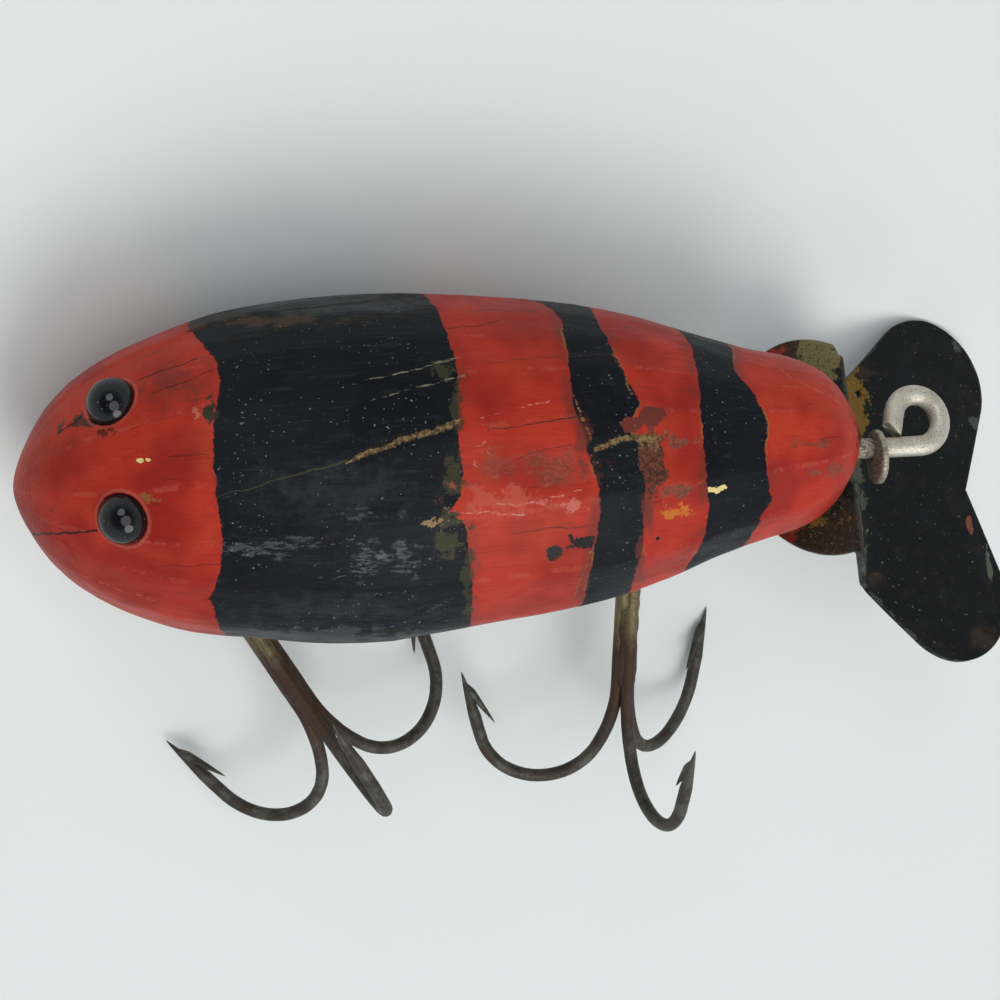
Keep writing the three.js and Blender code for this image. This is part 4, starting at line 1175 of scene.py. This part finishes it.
# Lines on the wood, in the same view: cracks, edges of cuts, scratches, painted highlights and sheen, and a
# painted shadow
woodLines = [
    {'course': [(18.8, 33.1), (27.5, 31.1), (41.9, 29.6)], 'width': [0.09, 0.12, 0.13], 'colour': 'dirt'},
    {'course': [(20.5, 34.3), (29.0, 32.6), (43.1, 31.1)], 'width': [0.08, 0.13, 0.12], 'colour': 'dirt'},
    {'course': [(33.7, 34.0), (50.0, 32.2)], 'width': [0.05, 0.05], 'colour': 'dirt', 'cover': 0.7},
    {'course': [(46.0, 31.2), (58.0, 30.8)], 'width': [0.04, 0.06], 'colour': 'crust', 'cover': 0.7},
    {'course': [(48.4, 36.3), (60.8, 35.3)], 'width': [0.05, 0.04], 'colour': 'crust', 'cover': 0.6},
    {'course': [(61.5, 32.6), (72.0, 34.2)], 'width': [0.04, 0.06], 'colour': 'crust', 'cover': 0.6},
    {'course': [(63.0, 38.6), (70.0, 39.2)], 'width': [0.04, 0.04], 'colour': 'crust', 'cover': 0.5},
    {'course': [(2.4, 53.5), (9.8, 53.1)], 'width': [0.12, 0.10], 'colour': 'dirt'},
    {'course': [(13.9, 37.9), (19.6, 35.9)], 'width': [0.04, 0.08], 'colour': 'dirt', 'cover': 0.8},
    {'course': [(15.1, 39.3), (21.4, 37.1)], 'width': [0.05, 0.06], 'colour': 'dirt', 'cover': 0.7},
    {'course': [(15.0, 56.8), (22.4, 56.4)], 'width': [0.03, 0.07], 'colour': 'dirt', 'cover': 0.6},
    {'course': [(5.9, 43.2), (8.2, 41.8)], 'width': [0.04, 0.12], 'colour': 'dirt'},
    # painted sheen: a pale red strip just inside the head's lower outline
    {'course': [(6.4, 57.1), (16.5, 60.4)], 'width': [0.08, 0.06], 'colour': 'paleRed', 'cover': 0.5,
     'broken': True},
    {'course': [(21.8, 49.7), (27.1, 48.2), (34.8, 46.1)], 'width': [0.04, 0.10, 0.16], 'colour': 'olive'},
    {'course': [(34.6, 46.4), (36.2, 45.5), (45.6, 42.3)], 'width': [0.12, 0.30, 0.40],
     'colour': 'grainyOchre', 'cover': 0.9},
    # painted shadow: the dark lower side of the scar
    {'course': [(36.0, 45.0), (42.4, 42.75)], 'width': [0.12, 0.06], 'colour': 'ink'},
    {'course': [(59.7, 44.9), (61.2, 44.3), (65.2, 43.5)], 'width': [0.28, 0.34, 0.30],
     'colour': 'grainyOchre', 'cover': 0.9},
    {'course': [(35.2, 38.4), (46.1, 35.75)], 'width': [0.05, 0.12], 'colour': 'pale', 'broken': True},
    {'course': [(37.1, 40.05), (46.3, 37.5)], 'width': [0.06, 0.12], 'colour': 'pale', 'broken': True},
    {'course': [(48.0, 41.9), (54.7, 40.0)], 'width': [0.08, 0.10], 'colour': 'pink', 'broken': True},
    {'course': [(48.8, 43.2), (58.2, 41.6)], 'width': [0.05, 0.07], 'colour': 'crust'},
    {'course': [(51.6, 45.8), (57.2, 44.3)], 'width': [0.05, 0.07], 'colour': 'crust', 'cover': 0.7},
    # painted highlight: pale pink along a raised edge in the red
    {'course': [(49.7, 50.4), (51.7, 50.6), (58.2, 49.0)], 'width': [0.06, 0.14, 0.08], 'colour': 'pink',
     'broken': True},
    {'course': [(44.8, 51.2), (52.4, 51.5)], 'width': [0.11, 0.09], 'colour': 'pink', 'broken': True},
    {'course': [(51.1, 53.4), (58.9, 52.5)], 'width': [0.05, 0.08], 'colour': 'crust', 'cover': 0.7},
    {'course': [(57.3, 39.4), (58.4, 42.2), (59.1, 44.0)], 'width': [0.08, 0.15, 0.08], 'colour': 'tan',
     'broken': True},
    {'course': [(61.3, 35.4), (63.2, 39.4)], 'width': [0.08, 0.11], 'colour': 'tan', 'broken': True},
    {'course': [(59.1, 55.0), (57.3, 60.2)], 'width': [0.07, 0.12], 'colour': 'tan', 'broken': True},
    {'course': [(32.5, 54.6), (36.6, 53.7)], 'width': [0.04, 0.16], 'colour': 'dust', 'cover': 0.6,
     'broken': True},
    {'course': [(33.4, 58.0), (36.3, 56.9), (38.5, 55.4)], 'width': [0.06, 0.18, 0.26], 'colour': 'dust',
     'cover': 0.5, 'broken': True},
    {'course': [(42.9, 60.9), (45.4, 59.8)], 'width': [0.05, 0.09], 'colour': 'dust', 'cover': 0.5,
     'broken': True},
    {'course': [(35.5, 63.4), (46.0, 62.3)], 'width': [0.14, 0.06], 'colour': 'dirt'},
    {'course': [(23.0, 62.7), (45.0, 61.4)], 'width': [0.06, 0.09], 'colour': 'dirt'},
    # painted sheen: a pale red strip along the upper outline near the nose
    {'course': [(74.0, 34.8), (84.0, 40.2)], 'width': [0.10, 0.12], 'colour': 'paleRed', 'cover': 0.6,
     'broken': True},
]


# Crumbs of old paint are a mixture of two colours
grainyColours = {'grainyOchre': ('brown', 'ochre'), 'grainyScab': ('bark', 'scab'),
                 'grainyBark': ('crust', 'bark')}


# The thin red: uneven from the brush, darker in the grain, and rubbed paler on the ridges
def redCoats(add, noises, grain, ridge, colours):
    calc, fade, blend = mathOf(add), fadeOf(add), blendOf(add)
    medium, fine = noises['medium'], noises['fine']
    rough = calc('ADD', 0.32, calc('MULTIPLY', medium, 0.24))
    height = calc('ADD', calc('MULTIPLY', fine, 0.02), calc('MULTIPLY', medium, 0.05))
    height = calc('ADD', height, calc('MULTIPLY', grain['Streak'], 0.06))
    red = blend(fade(noises['slow'], 0.38, 0.62), colours['red'], colours['deepRed'])
    coats = Coats(add, red, rough, height)
    coats.lay(calc('MULTIPLY', fade(noises['patchy'], 0.50, 0.68), 0.45), colours['orange'])
    coats.lay(calc('MULTIPLY', fade(grain['Streak'], 0.50, 0.68), 0.4), colours['deepRed'])
    rubbed = calc('MULTIPLY', fade(ridge, 0.84, 1.0), fade(medium, 0.48, 0.60))
    coats.lay(calc('MULTIPLY', rubbed, 0.4), colours['paleRed'])
    return coats


# The black bands, with the darkened thin red and an undercoat beside them. inBlack is how far inside the
# wavering edge a place is, in mm, and the undercoat shows from the middle of the body to its nose
def blackCoats(add, coats, noises, grain, ridge, colours, inBlack, along):
    calc, fade, blend = mathOf(add), fadeOf(add), blendOf(add)
    medium, other = noises['medium'], noises['other']
    rear = fade(along, 40, 44)
    beside = calc('MULTIPLY', calc('MULTIPLY', fade(inBlack, -1.4, -0.5), fade(other, 0.44, 0.56)), rear)
    coats.lay(calc('MULTIPLY', beside, 0.65), colours['dullRed'])
    under = calc('MULTIPLY', fade(inBlack, -0.30, -0.14), fade(noises['patchy'], 0.52, 0.60))
    coats.lay(calc('MULTIPLY', calc('MULTIPLY', under, rear), 0.7), colours['tan'])
    black = blend(fade(noises['slow'], 0.42, 0.60), colours['black'], colours['blueBlack'])
    streaks = calc('MULTIPLY', fade(grain['Streak'], 0.50, 0.74), fade(medium, 0.42, 0.62))
    black = blend(calc('MULTIPLY', streaks, 0.7), black, colours['darkBlueGrey'])
    coats.lay(fade(inBlack, -0.06, 0.08), black, calc('ADD', 0.36, calc('MULTIPLY', medium, 0.26)), 0.02)
    worn = calc('MULTIPLY', fade(ridge, 0.93, 1.0), fade(medium, 0.58, 0.66))
    coats.lay(calc('MULTIPLY', worn, 0.4), colours['crust'])
    opened = fade(calc('ADD', other, calc('MULTIPLY', medium, 0.2)), 0.56, 0.66)
    coats.lay(calc('MULTIPLY', calc('MULTIPLY', grain['Check'], opened), 0.7), colours['dirt'])


# Painted wood: red brushed on thinly, black bands over it with an undercoat at their edges, and all its wear
def paintedWood(add):
    calc, fade, blend, noise = mathOf(add), fadeOf(add), blendOf(add), noiseOf(add)
    vectors = vectorMathOf(add)
    swim, wrap, seen = attribute(add, 'swim'), attribute(add, 'wrap'), attribute(add, 'sight')
    blackness, beadGap, ridge = split(add, attribute(add, 'paint'))
    grain = useGroup(add, 'grain', {'Swim': swim, 'Wrap': wrap})
    slow, patchy, other = add('SeparateColor', {0: noise(swim, 0.13, 2, 0.6)['Color']}).outputs
    medium = noise(swim, 0.55, 4, 0.68)['Fac']
    fine = noise(swim, 3.0, 2, 0.6)['Fac']
    noises = {'slow': slow, 'patchy': patchy, 'other': other, 'medium': medium, 'fine': fine}
    grit = fade(noise(swim, 1.7, 3, 0.85)['Fac'], 0.44, 0.56)
    stretched = vectors('MULTIPLY', swim, (0.3, 1, 1))
    gaps = fade(noise(stretched, 2.6, 2, 0.75)['Fac'], 0.44, 0.60)
    grainy = {name: blend(grit, paintColours[under], paintColours[over])
              for name, (under, over) in grainyColours.items()}
    colours = {**paintColours, **grainy}

    coats = redCoats(add, noises, grain, ridge, colours)
    waver = calc('ADD', calc('MULTIPLY', calc('SUBTRACT', medium, 0.5), 1.1),
                 calc('MULTIPLY', calc('SUBTRACT', fine, 0.5), 0.25))
    inBlack = calc('ADD', blackness, waver)
    blackCoats(add, coats, noises, grain, ridge, colours, inBlack, split(add, swim)[0])

    # the marks: those that are only colour wander a little from their places
    rugged = {'rugged': calc('MULTIPLY', calc('SUBTRACT', fine, 0.6), 0.16)}
    deep = [{**mark, 'height': rugged.get(mark['height'], mark['height'])} for mark in damageMarks]
    edges = fade(medium, 0.22, 0.78)
    place = layMarks(add, coats, deep, colours, seen, edges, gaps)
    wander = vectors('MULTIPLY_ADD', noise(swim, 0.45, 1)['Color'], (0.8, 0.8, 0), (-0.4, -0.4, 0))
    place = vectors('ADD', place, wander)
    place = layMarks(add, coats, woodMarks, colours, place, edges, gaps)
    layLines(add, coats, woodLines, colours, place, fine, gaps)
    specks = useGroup(add, 'specks', {'Swim': swim, 'Spacing': 0.25, 'Amount': fade(patchy, 0.36, 0.60)})
    chalky = calc('MULTIPLY', specks['Mask'], fade(inBlack, 0, 0.3))
    coats.lay(calc('MULTIPLY', chalky, 0.6), colours['chalk'])

    # a dark ring where each bead meets the wood, and pale paint round them
    gap = calc('ADD', beadGap, calc('MULTIPLY', calc('SUBTRACT', medium, 0.5), 0.5))
    collar = calc('MULTIPLY', fade(gap, 0.05, 0.2), calc('SUBTRACT', 1, fade(gap, 0.25, 0.5)))
    coats.lay(calc('MULTIPLY', collar, 0.35), colours['pink'])
    coats.lay(calc('SUBTRACT', 1, fade(gap, -0.05, 0.10)), colours['dirt'])
    return coats.sockets()


beadColours = {'glass': rgb(0.004, 0.004, 0.005), 'dust': rgb(0.10, 0.10, 0.09)}


def blackBead(add):
    calc, noise, swim = mathOf(add), noiseOf(add), attribute(add, 'swim')
    coats = Coats(add, beadColours['glass'], 0.09, calc('MULTIPLY', noise(swim, 0.8, 2)['Fac'], 0.02))
    dust = useGroup(add, 'specks', {'Swim': swim, 'Spacing': 0.3, 'Amount': 0.8})
    coats.lay(dust['Mask'], beadColours['dust'], 0.6)
    return coats.sockets()


sheetColours = {
    'black': rgb(0.0030, 0.0034, 0.0036), 'darkBlueGrey': rgb(0.008, 0.009, 0.010), 'brass': rgb(0.17, 0.095, 0.018),
    'grey': rgb(0.060, 0.064, 0.060), 'brown': rgb(0.030, 0.017, 0.010), 'rust': rgb(0.045, 0.022, 0.011),
    'olive': rgb(0.150, 0.128, 0.050), 'red': rgb(0.26, 0.024, 0.012), 'pinkish': rgb(0.16, 0.050, 0.034),
    'ochre': rgb(0.24, 0.11, 0.02), 'lichen': rgb(0.22, 0.23, 0.14), 'dirt': rgb(0.010, 0.007, 0.005),
    'strip': rgb(0.085, 0.090, 0.062), 'dust': rgb(0.3, 0.29, 0.26),
}
plateStarts = {'tongue': 0.0, 'wall': 0.0, 'blade': wallLength}      # the s that its marks are counted from

# Marks on the lip: plate, place forward of its fold and to the side, half sizes in mm, colour and metal share
sheetMarks = [
    {'plate': 'wall', 'at': (4.5, 0), 'size': (4.9, 14), 'colour': 'strip', 'metal': 0.3, 'ragged': 1.2,
     'cover': 0.75},
    {'plate': 'wall', 'at': (5.0, -6.5), 'size': (3.4, 2.4), 'colour': 'lichen', 'metal': 0.1, 'ragged': 1.8,
     'cover': 0.8},
    {'plate': 'blade', 'at': (0.9, 8.6), 'size': (1.9, 5.2), 'colour': 'brass', 'metal': 0.45, 'ragged': 1.2},
    {'plate': 'blade', 'at': (2.4, 12.2), 'size': (1.5, 1.2), 'colour': 'brown', 'metal': 0.3, 'ragged': 2.0},
    {'plate': 'blade', 'at': (1.2, 12.6), 'size': (0.8, 1.2), 'colour': 'brass', 'metal': 0.4, 'ragged': 2.0},
    {'plate': 'blade', 'at': (2.6, 3.6), 'size': (0.8, 1.4), 'colour': 'ochre', 'metal': 0.3, 'ragged': 2.6},
    {'plate': 'blade', 'at': (16.9, 18.0), 'size': (0.9, 2.0), 'colour': 'grey', 'metal': 0.3, 'ragged': 1.8},
    {'plate': 'blade', 'at': (18.9, 15.2), 'size': (0.6, 1.6), 'colour': 'grey', 'metal': 0.3, 'ragged': 1.8},
    {'plate': 'blade', 'at': (17.9, 7.6), 'size': (0.7, 0.7), 'colour': 'grey', 'metal': 0.3, 'ragged': 1.8},
    {'plate': 'blade', 'at': (15.3, -4.4), 'size': (0.42, 0.95), 'colour': 'pinkish', 'ragged': 1.8},
    {'plate': 'blade', 'at': (17.3, -9.2), 'size': (0.40, 2.4), 'colour': 'strip', 'metal': 0.2,
     'ragged': 1.6},
    {'plate': 'blade', 'at': (18.9, -14.6), 'size': (0.35, 1.6), 'colour': 'ochre', 'metal': 0.2,
     'ragged': 1.8, 'cover': 0.8},
    {'plate': 'blade', 'at': (15.6, -17.4), 'size': (2.6, 1.5), 'colour': 'brown', 'ragged': 1.6,
     'soft': 0.8},
    {'plate': 'blade', 'at': (1.2, -11.2), 'size': (1.6, 1.2), 'colour': 'brown', 'ragged': 1.6, 'soft': 0.5},
    {'plate': 'tongue', 'at': (-4.0, 12.2), 'size': (6.4, 4.4), 'colour': 'rust', 'ragged': 1.2},
    {'plate': 'tongue', 'at': (-2.0, 11.6), 'size': (2.5, 3.4), 'colour': 'olive', 'metal': 0.2,
     'ragged': 1.0},
    {'plate': 'tongue', 'at': (-1.6, 13.4), 'size': (1.0, 0.9), 'colour': 'lichen', 'ragged': 2.8,
     'cover': 0.4},
    {'plate': 'tongue', 'at': (-7.4, 11.4), 'size': (1.6, 1.8), 'colour': 'red', 'ragged': 2.4},
    {'plate': 'tongue', 'at': (-4.3, -8.6), 'size': (6.4, 5.4), 'colour': 'brown', 'ragged': 1.6,
     'soft': 0.3},
    {'plate': 'tongue', 'at': (-6.0, -6.6), 'size': (3.6, 0.8), 'colour': 'ochre', 'ragged': 3.0, 'soft': 0.4,
     'cover': 0.7},
    {'plate': 'tongue', 'at': (-7.6, -7.6), 'size': (2.0, 1.0), 'colour': 'red', 'ragged': 3.0, 'soft': 0.4,
     'cover': 0.6},
]


# Painted sheet: black, dusty and brown with rust, bare grey at its rims, and pitted where the tongue is
def paintedSheet(add):
    calc, fade, noise = mathOf(add), fadeOf(add), noiseOf(add)
    swim, wrap = attribute(add, 'swim'), attribute(add, 'wrap')
    edge = split(add, attribute(add, 'edge'))[0]
    old = useGroup(add, 'corrosion', {'Swim': swim, 'Fineness': 1.0})
    colours = sheetColours
    medium = noise(swim, 0.6, 6, 0.68)['Fac']
    coats = Coats(add, colours['black'], calc('ADD', 0.36, calc('MULTIPLY', old['Scale'], 0.24)),
                  calc('MULTIPLY', old['Scale'], 0.05), 0.0)
    coats.lay(calc('MULTIPLY', fade(old['Cloud'], 0.50, 0.66), 0.5), colours['darkBlueGrey'], 0.5)
    coats.lay(calc('MULTIPLY', fade(medium, 0.56, 0.66), 0.4), colours['brown'], 0.6)
    rim = calc('ADD', edge, calc('MULTIPLY', calc('SUBTRACT', medium, 0.46), 2.2))
    bareRim = calc('MULTIPLY', calc('SUBTRACT', 1, fade(rim, 0.0, 0.16)), 0.6)
    coats.lay(bareRim, colours['grey'], 0.45, None, 0.3)
    marks = [{**mark, 'at': (plateStarts[mark['plate']] + mark['at'][0], mark['at'][1]), 'face': 1.0}
             for mark in sheetMarks]
    layMarks(add, coats, marks, colours, wrap, fade(medium, 0.22, 0.78))
    bare = calc('SUBTRACT', 1, fade(split(add, wrap)[0], -1.0, 1.0))
    pits = calc('MULTIPLY', old['Pits'], calc('ADD', 0.35, calc('MULTIPLY', bare, 0.6)))
    coats.lay(pits, colours['dirt'], 0.75, -0.05, 0.0)
    crumbs = calc('MULTIPLY', bare, fade(old['Scale'], 0.56, 0.64))
    coats.lay(calc('MULTIPLY', crumbs, 0.3), colours['lichen'], 0.8, 0.03, 0.0)
    dust = useGroup(add, 'specks', {'Swim': swim, 'Spacing': 0.35, 'Amount': 0.7})
    coats.lay(calc('MULTIPLY', dust['Mask'], 0.3), colours['dust'])
    return coats.sockets()


metalColours = {
    'plated': rgb(0.60, 0.555, 0.47), 'platedDull': rgb(0.50, 0.45, 0.36),
    'platedPits': rgb(0.07, 0.05, 0.035), 'dirt': rgb(0.07, 0.045, 0.028),
    'brass': rgb(0.30, 0.22, 0.09), 'brassDull': rgb(0.13, 0.10, 0.05), 'brassPits': rgb(0.05, 0.04, 0.025),
    'steel': rgb(0.105, 0.100, 0.082), 'steelDull': rgb(0.060, 0.052, 0.042),
    'steelPits': rgb(0.022, 0.015, 0.011), 'brownSteel': rgb(0.075, 0.040, 0.024),
    'solder': rgb(0.19, 0.155, 0.075), 'rust': rgb(0.12, 0.050, 0.025),
}


# Plated wire, dull in clouds and pitted, and darker in patches on the part of it that is near the wood
def platedWire(add):
    calc, fade, colours = mathOf(add), fadeOf(add), metalColours
    swim = attribute(add, 'swim')
    old = useGroup(add, 'corrosion', {'Swim': swim, 'Fineness': 1.4})
    coats = Coats(add, colours['plated'], calc('ADD', 0.34, calc('MULTIPLY', old['Scale'], 0.3)),
                  calc('MULTIPLY', old['Scale'], 0.05))
    coats.lay(fade(old['Cloud'], 0.45, 0.65), colours['platedDull'], 0.55)
    coats.lay(calc('MULTIPLY', old['Pits'], 0.7), colours['platedPits'], 0.7, -0.03)
    # darker in patches where the wire is near the wood
    atWood = calc('SUBTRACT', 1, fade(split(add, swim)[0], 86.4, 88.8))
    darkNearWood = calc('MULTIPLY', atWood, calc('ADD', 0.45, fade(old['Scale'], 0.42, 0.62)))
    coats.lay(calc('MULTIPLY', darkNearWood, 0.6), colours['dirt'], 0.7)
    return coats.sockets()


def dullBrass(add):
    calc, fade, colours = mathOf(add), fadeOf(add), metalColours
    old = useGroup(add, 'corrosion', {'Swim': attribute(add, 'swim'), 'Fineness': 1.6})
    coats = Coats(add, colours['brass'], calc('ADD', 0.30, calc('MULTIPLY', old['Scale'], 0.3)),
                  calc('MULTIPLY', old['Scale'], 0.05))
    coats.lay(fade(old['Cloud'], 0.42, 0.62), colours['brassDull'], 0.55)
    coats.lay(calc('MULTIPLY', old['Pits'], 0.8), colours['brassPits'], 0.7, -0.03)
    return coats.sockets()


# Hook steel by how far down the hook it is: solder as far as about 11 mm, then brown to about 24, then grey
def hookSteel(add):
    calc, fade, noise, colours = mathOf(add), fadeOf(add), noiseOf(add), metalColours
    swim = attribute(add, 'swim')
    down = split(add, attribute(add, 'reach'))[0]
    old = useGroup(add, 'corrosion', {'Swim': swim, 'Fineness': 1.5})
    patchy = noise(swim, 0.42, 6, 0.66)['Fac']
    coats = Coats(add, colours['steel'], calc('ADD', 0.36, calc('MULTIPLY', old['Scale'], 0.3)),
                  calc('MULTIPLY', old['Scale'], 0.09))
    coats.lay(fade(patchy, 0.40, 0.56), colours['steelDull'], 0.55)
    uneven = calc('ADD', down, calc('MULTIPLY', calc('SUBTRACT', patchy, 0.5), 9))
    coats.lay(calc('MULTIPLY', calc('SUBTRACT', 1, fade(uneven, 20, 27)), 0.85), colours['brownSteel'], 0.6)
    coats.lay(calc('MULTIPLY', calc('SUBTRACT', 1, fade(uneven, 9, 14)), 0.9), colours['solder'], 0.45)
    coats.lay(calc('MULTIPLY', fade(patchy, 0.60, 0.68), 0.8), colours['rust'], 0.75, 0.03)
    coats.lay(calc('MULTIPLY', old['Pits'], 0.8), colours['steelPits'], 0.8, -0.05)
    return coats.sockets()


# Each slot's material; a specular level or metallic that is the same all over is set on the shader itself
materials = {
    'painted_wood': makeMaterial('painted wood', paintedWood, {'Specular IOR Level': 0.13}),
    'eye_glass': makeMaterial('black glass bead', blackBead, {'Specular IOR Level': 0.35}),
    'painted_sheet': makeMaterial('painted sheet metal', paintedSheet, {'Specular IOR Level': 0.14}),
    'plated_wire': makeMaterial('dull plated wire', platedWire, {'Metallic': 0.9}),
    'screw_brass': makeMaterial('tarnished brass', dullBrass, {'Metallic': 0.9}),
    'hook_steel': makeMaterial('browned steel', hookSteel, {'Metallic': 0.75}),
}
print('materials made')

# The pieces

# Adds one finished piece; bevel is the radius of its rounded edges, in mm
def addPiece(name, parts, slot, bevel=0.0):
    piece = makePiece(name + '_finished', parts, materials[slot], name)
    if bevel:
        edge = piece.modifiers.new('rounded edges', 'BEVEL')
        edge.width, edge.segments, edge.limit_method = bevel * metresPerMm, 3, 'ANGLE'
        edge.angle_limit = np.radians(50)


addPiece('body', [bodyPart()], 'painted_wood')
for name, place in zip(('eye_left', 'eye_right'), beadPlaces):
    addPiece(name, [beadPart(place)], 'eye_glass')
addPiece('lip', [lipPart()], 'painted_sheet', bevel=0.12)
for name, side in (('left', 1), ('right', -1)):
    place = lip['topFold']['side'] + side * lipScrew['side']
    addPiece('lip_screw_' + name, lipScrewParts(place), 'screw_brass')
addPiece('line_tie', [tiePart()], 'plated_wire')
addPiece('line_tie_washer', [washerPart()], 'plated_wire')
for end in ('lip_end', 'eye_end'):
    addPiece('hook_hanger_' + end, hangerParts(end), 'screw_brass')
    addPiece('treble_hook_' + end, trebleParts(end), 'hook_steel')


def placeCamera():
    back = cameraAxes()[2]
    place = toFrame(np.array(camera['aim']) + camera['distance'] * back)
    turned = lyingTurn @ np.stack(cameraAxes(), -1)
    view = bpy.data.objects.new('camera', bpy.data.cameras.new('camera'))
    view.matrix_world = Matrix.LocRotScale(place.tolist(), Matrix(turned.tolist()), None)
    view.data.lens, view.data.sensor_width = camera['lens'], camera['sensor']
    view.data.clip_start, view.data.clip_end = camera['clip']
    bpy.context.scene.collection.objects.link(view)
    bpy.context.scene.camera = view


placeCamera()

# The lights are round panels, in metres and watts, aimed at the middle of the lure
lights = {
    'window': {'place': (0.16, -0.38, 1.0), 'size': 0.66, 'power': 4.9, 'colour': (1.0, 0.99, 0.97)},
    'ceiling': {'place': (-0.02, 0.30, 1.1), 'size': 0.9, 'power': 4.2, 'colour': (0.98, 0.99, 1.0)},
    'far side': {'place': (-0.30, 0.90, 0.6), 'size': 0.6, 'power': 2.6, 'colour': (0.93, 0.96, 1.0)},
}
aimAt = np.array([0.02, 0, 0.015])
room = {'around': rgb(0.80, 0.86, 0.90), 'overhead': rgb(0.10, 0.11, 0.12), 'dims': (0.35, 0.85),
        'strength': 0.86}
surface = {'halfSize': 3, 'colour': rgb(0.67, 0.695, 0.675), 'roughness': 0.55}


def addLight(name, light):
    data = bpy.data.lights.new(name, 'AREA')
    data.shape, data.size = 'DISK', light['size']
    data.energy, data.color = light['power'], light['colour']
    back = unit(np.array(light['place']) - aimAt)
    across = unit(np.cross(zAxis, back))
    turned = np.stack([across, np.cross(back, across), back], -1)
    lamp = bpy.data.objects.new(name, data)
    lamp.matrix_world = Matrix.LocRotScale(light['place'], Matrix(turned.tolist()), None)
    bpy.context.scene.collection.objects.link(lamp)


for name, light in lights.items():
    addLight(name, light)


# A pale room that is dim overhead, towards the camera
def paleRoom():
    world = bpy.data.worlds.new('pale room')
    world.use_nodes = True
    tree = world.node_tree
    add = nodeMaker(tree)
    overhead = lyingTurn @ cameraAxes()[2]
    way = add('TexCoord').outputs['Generated']
    facing = vectorMathOf(add)('DOT_PRODUCT', way, overhead.tolist())
    colour = blendOf(add)(fadeOf(add)(facing, *room['dims']), room['around'], room['overhead'])
    background = tree.nodes['Background']
    tree.links.new(colour, background.inputs['Color'])
    background.inputs['Strength'].default_value = room['strength']
    bpy.context.scene.world = world
    bpy.context.scene.view_settings.view_transform = 'Standard'


def addFloor():
    half = surface['halfSize']
    mesh = bpy.data.meshes.new('floor')
    corners = [(-half, -half, 0), (half, -half, 0), (half, half, 0), (-half, half, 0)]
    mesh.from_pydata(corners, [], [(0, 1, 2, 3)])
    material = bpy.data.materials.new('pale surface')
    material.use_nodes = True
    shader = material.node_tree.nodes['Principled BSDF']
    shader.inputs['Base Color'].default_value = surface['colour']
    shader.inputs['Roughness'].default_value = surface['roughness']
    mesh.materials.append(material)
    floor = bpy.data.objects.new('floor', mesh)
    bpy.context.scene.collection.objects.link(floor)


paleRoom()
addFloor()
print('camera, lights and floor placed')
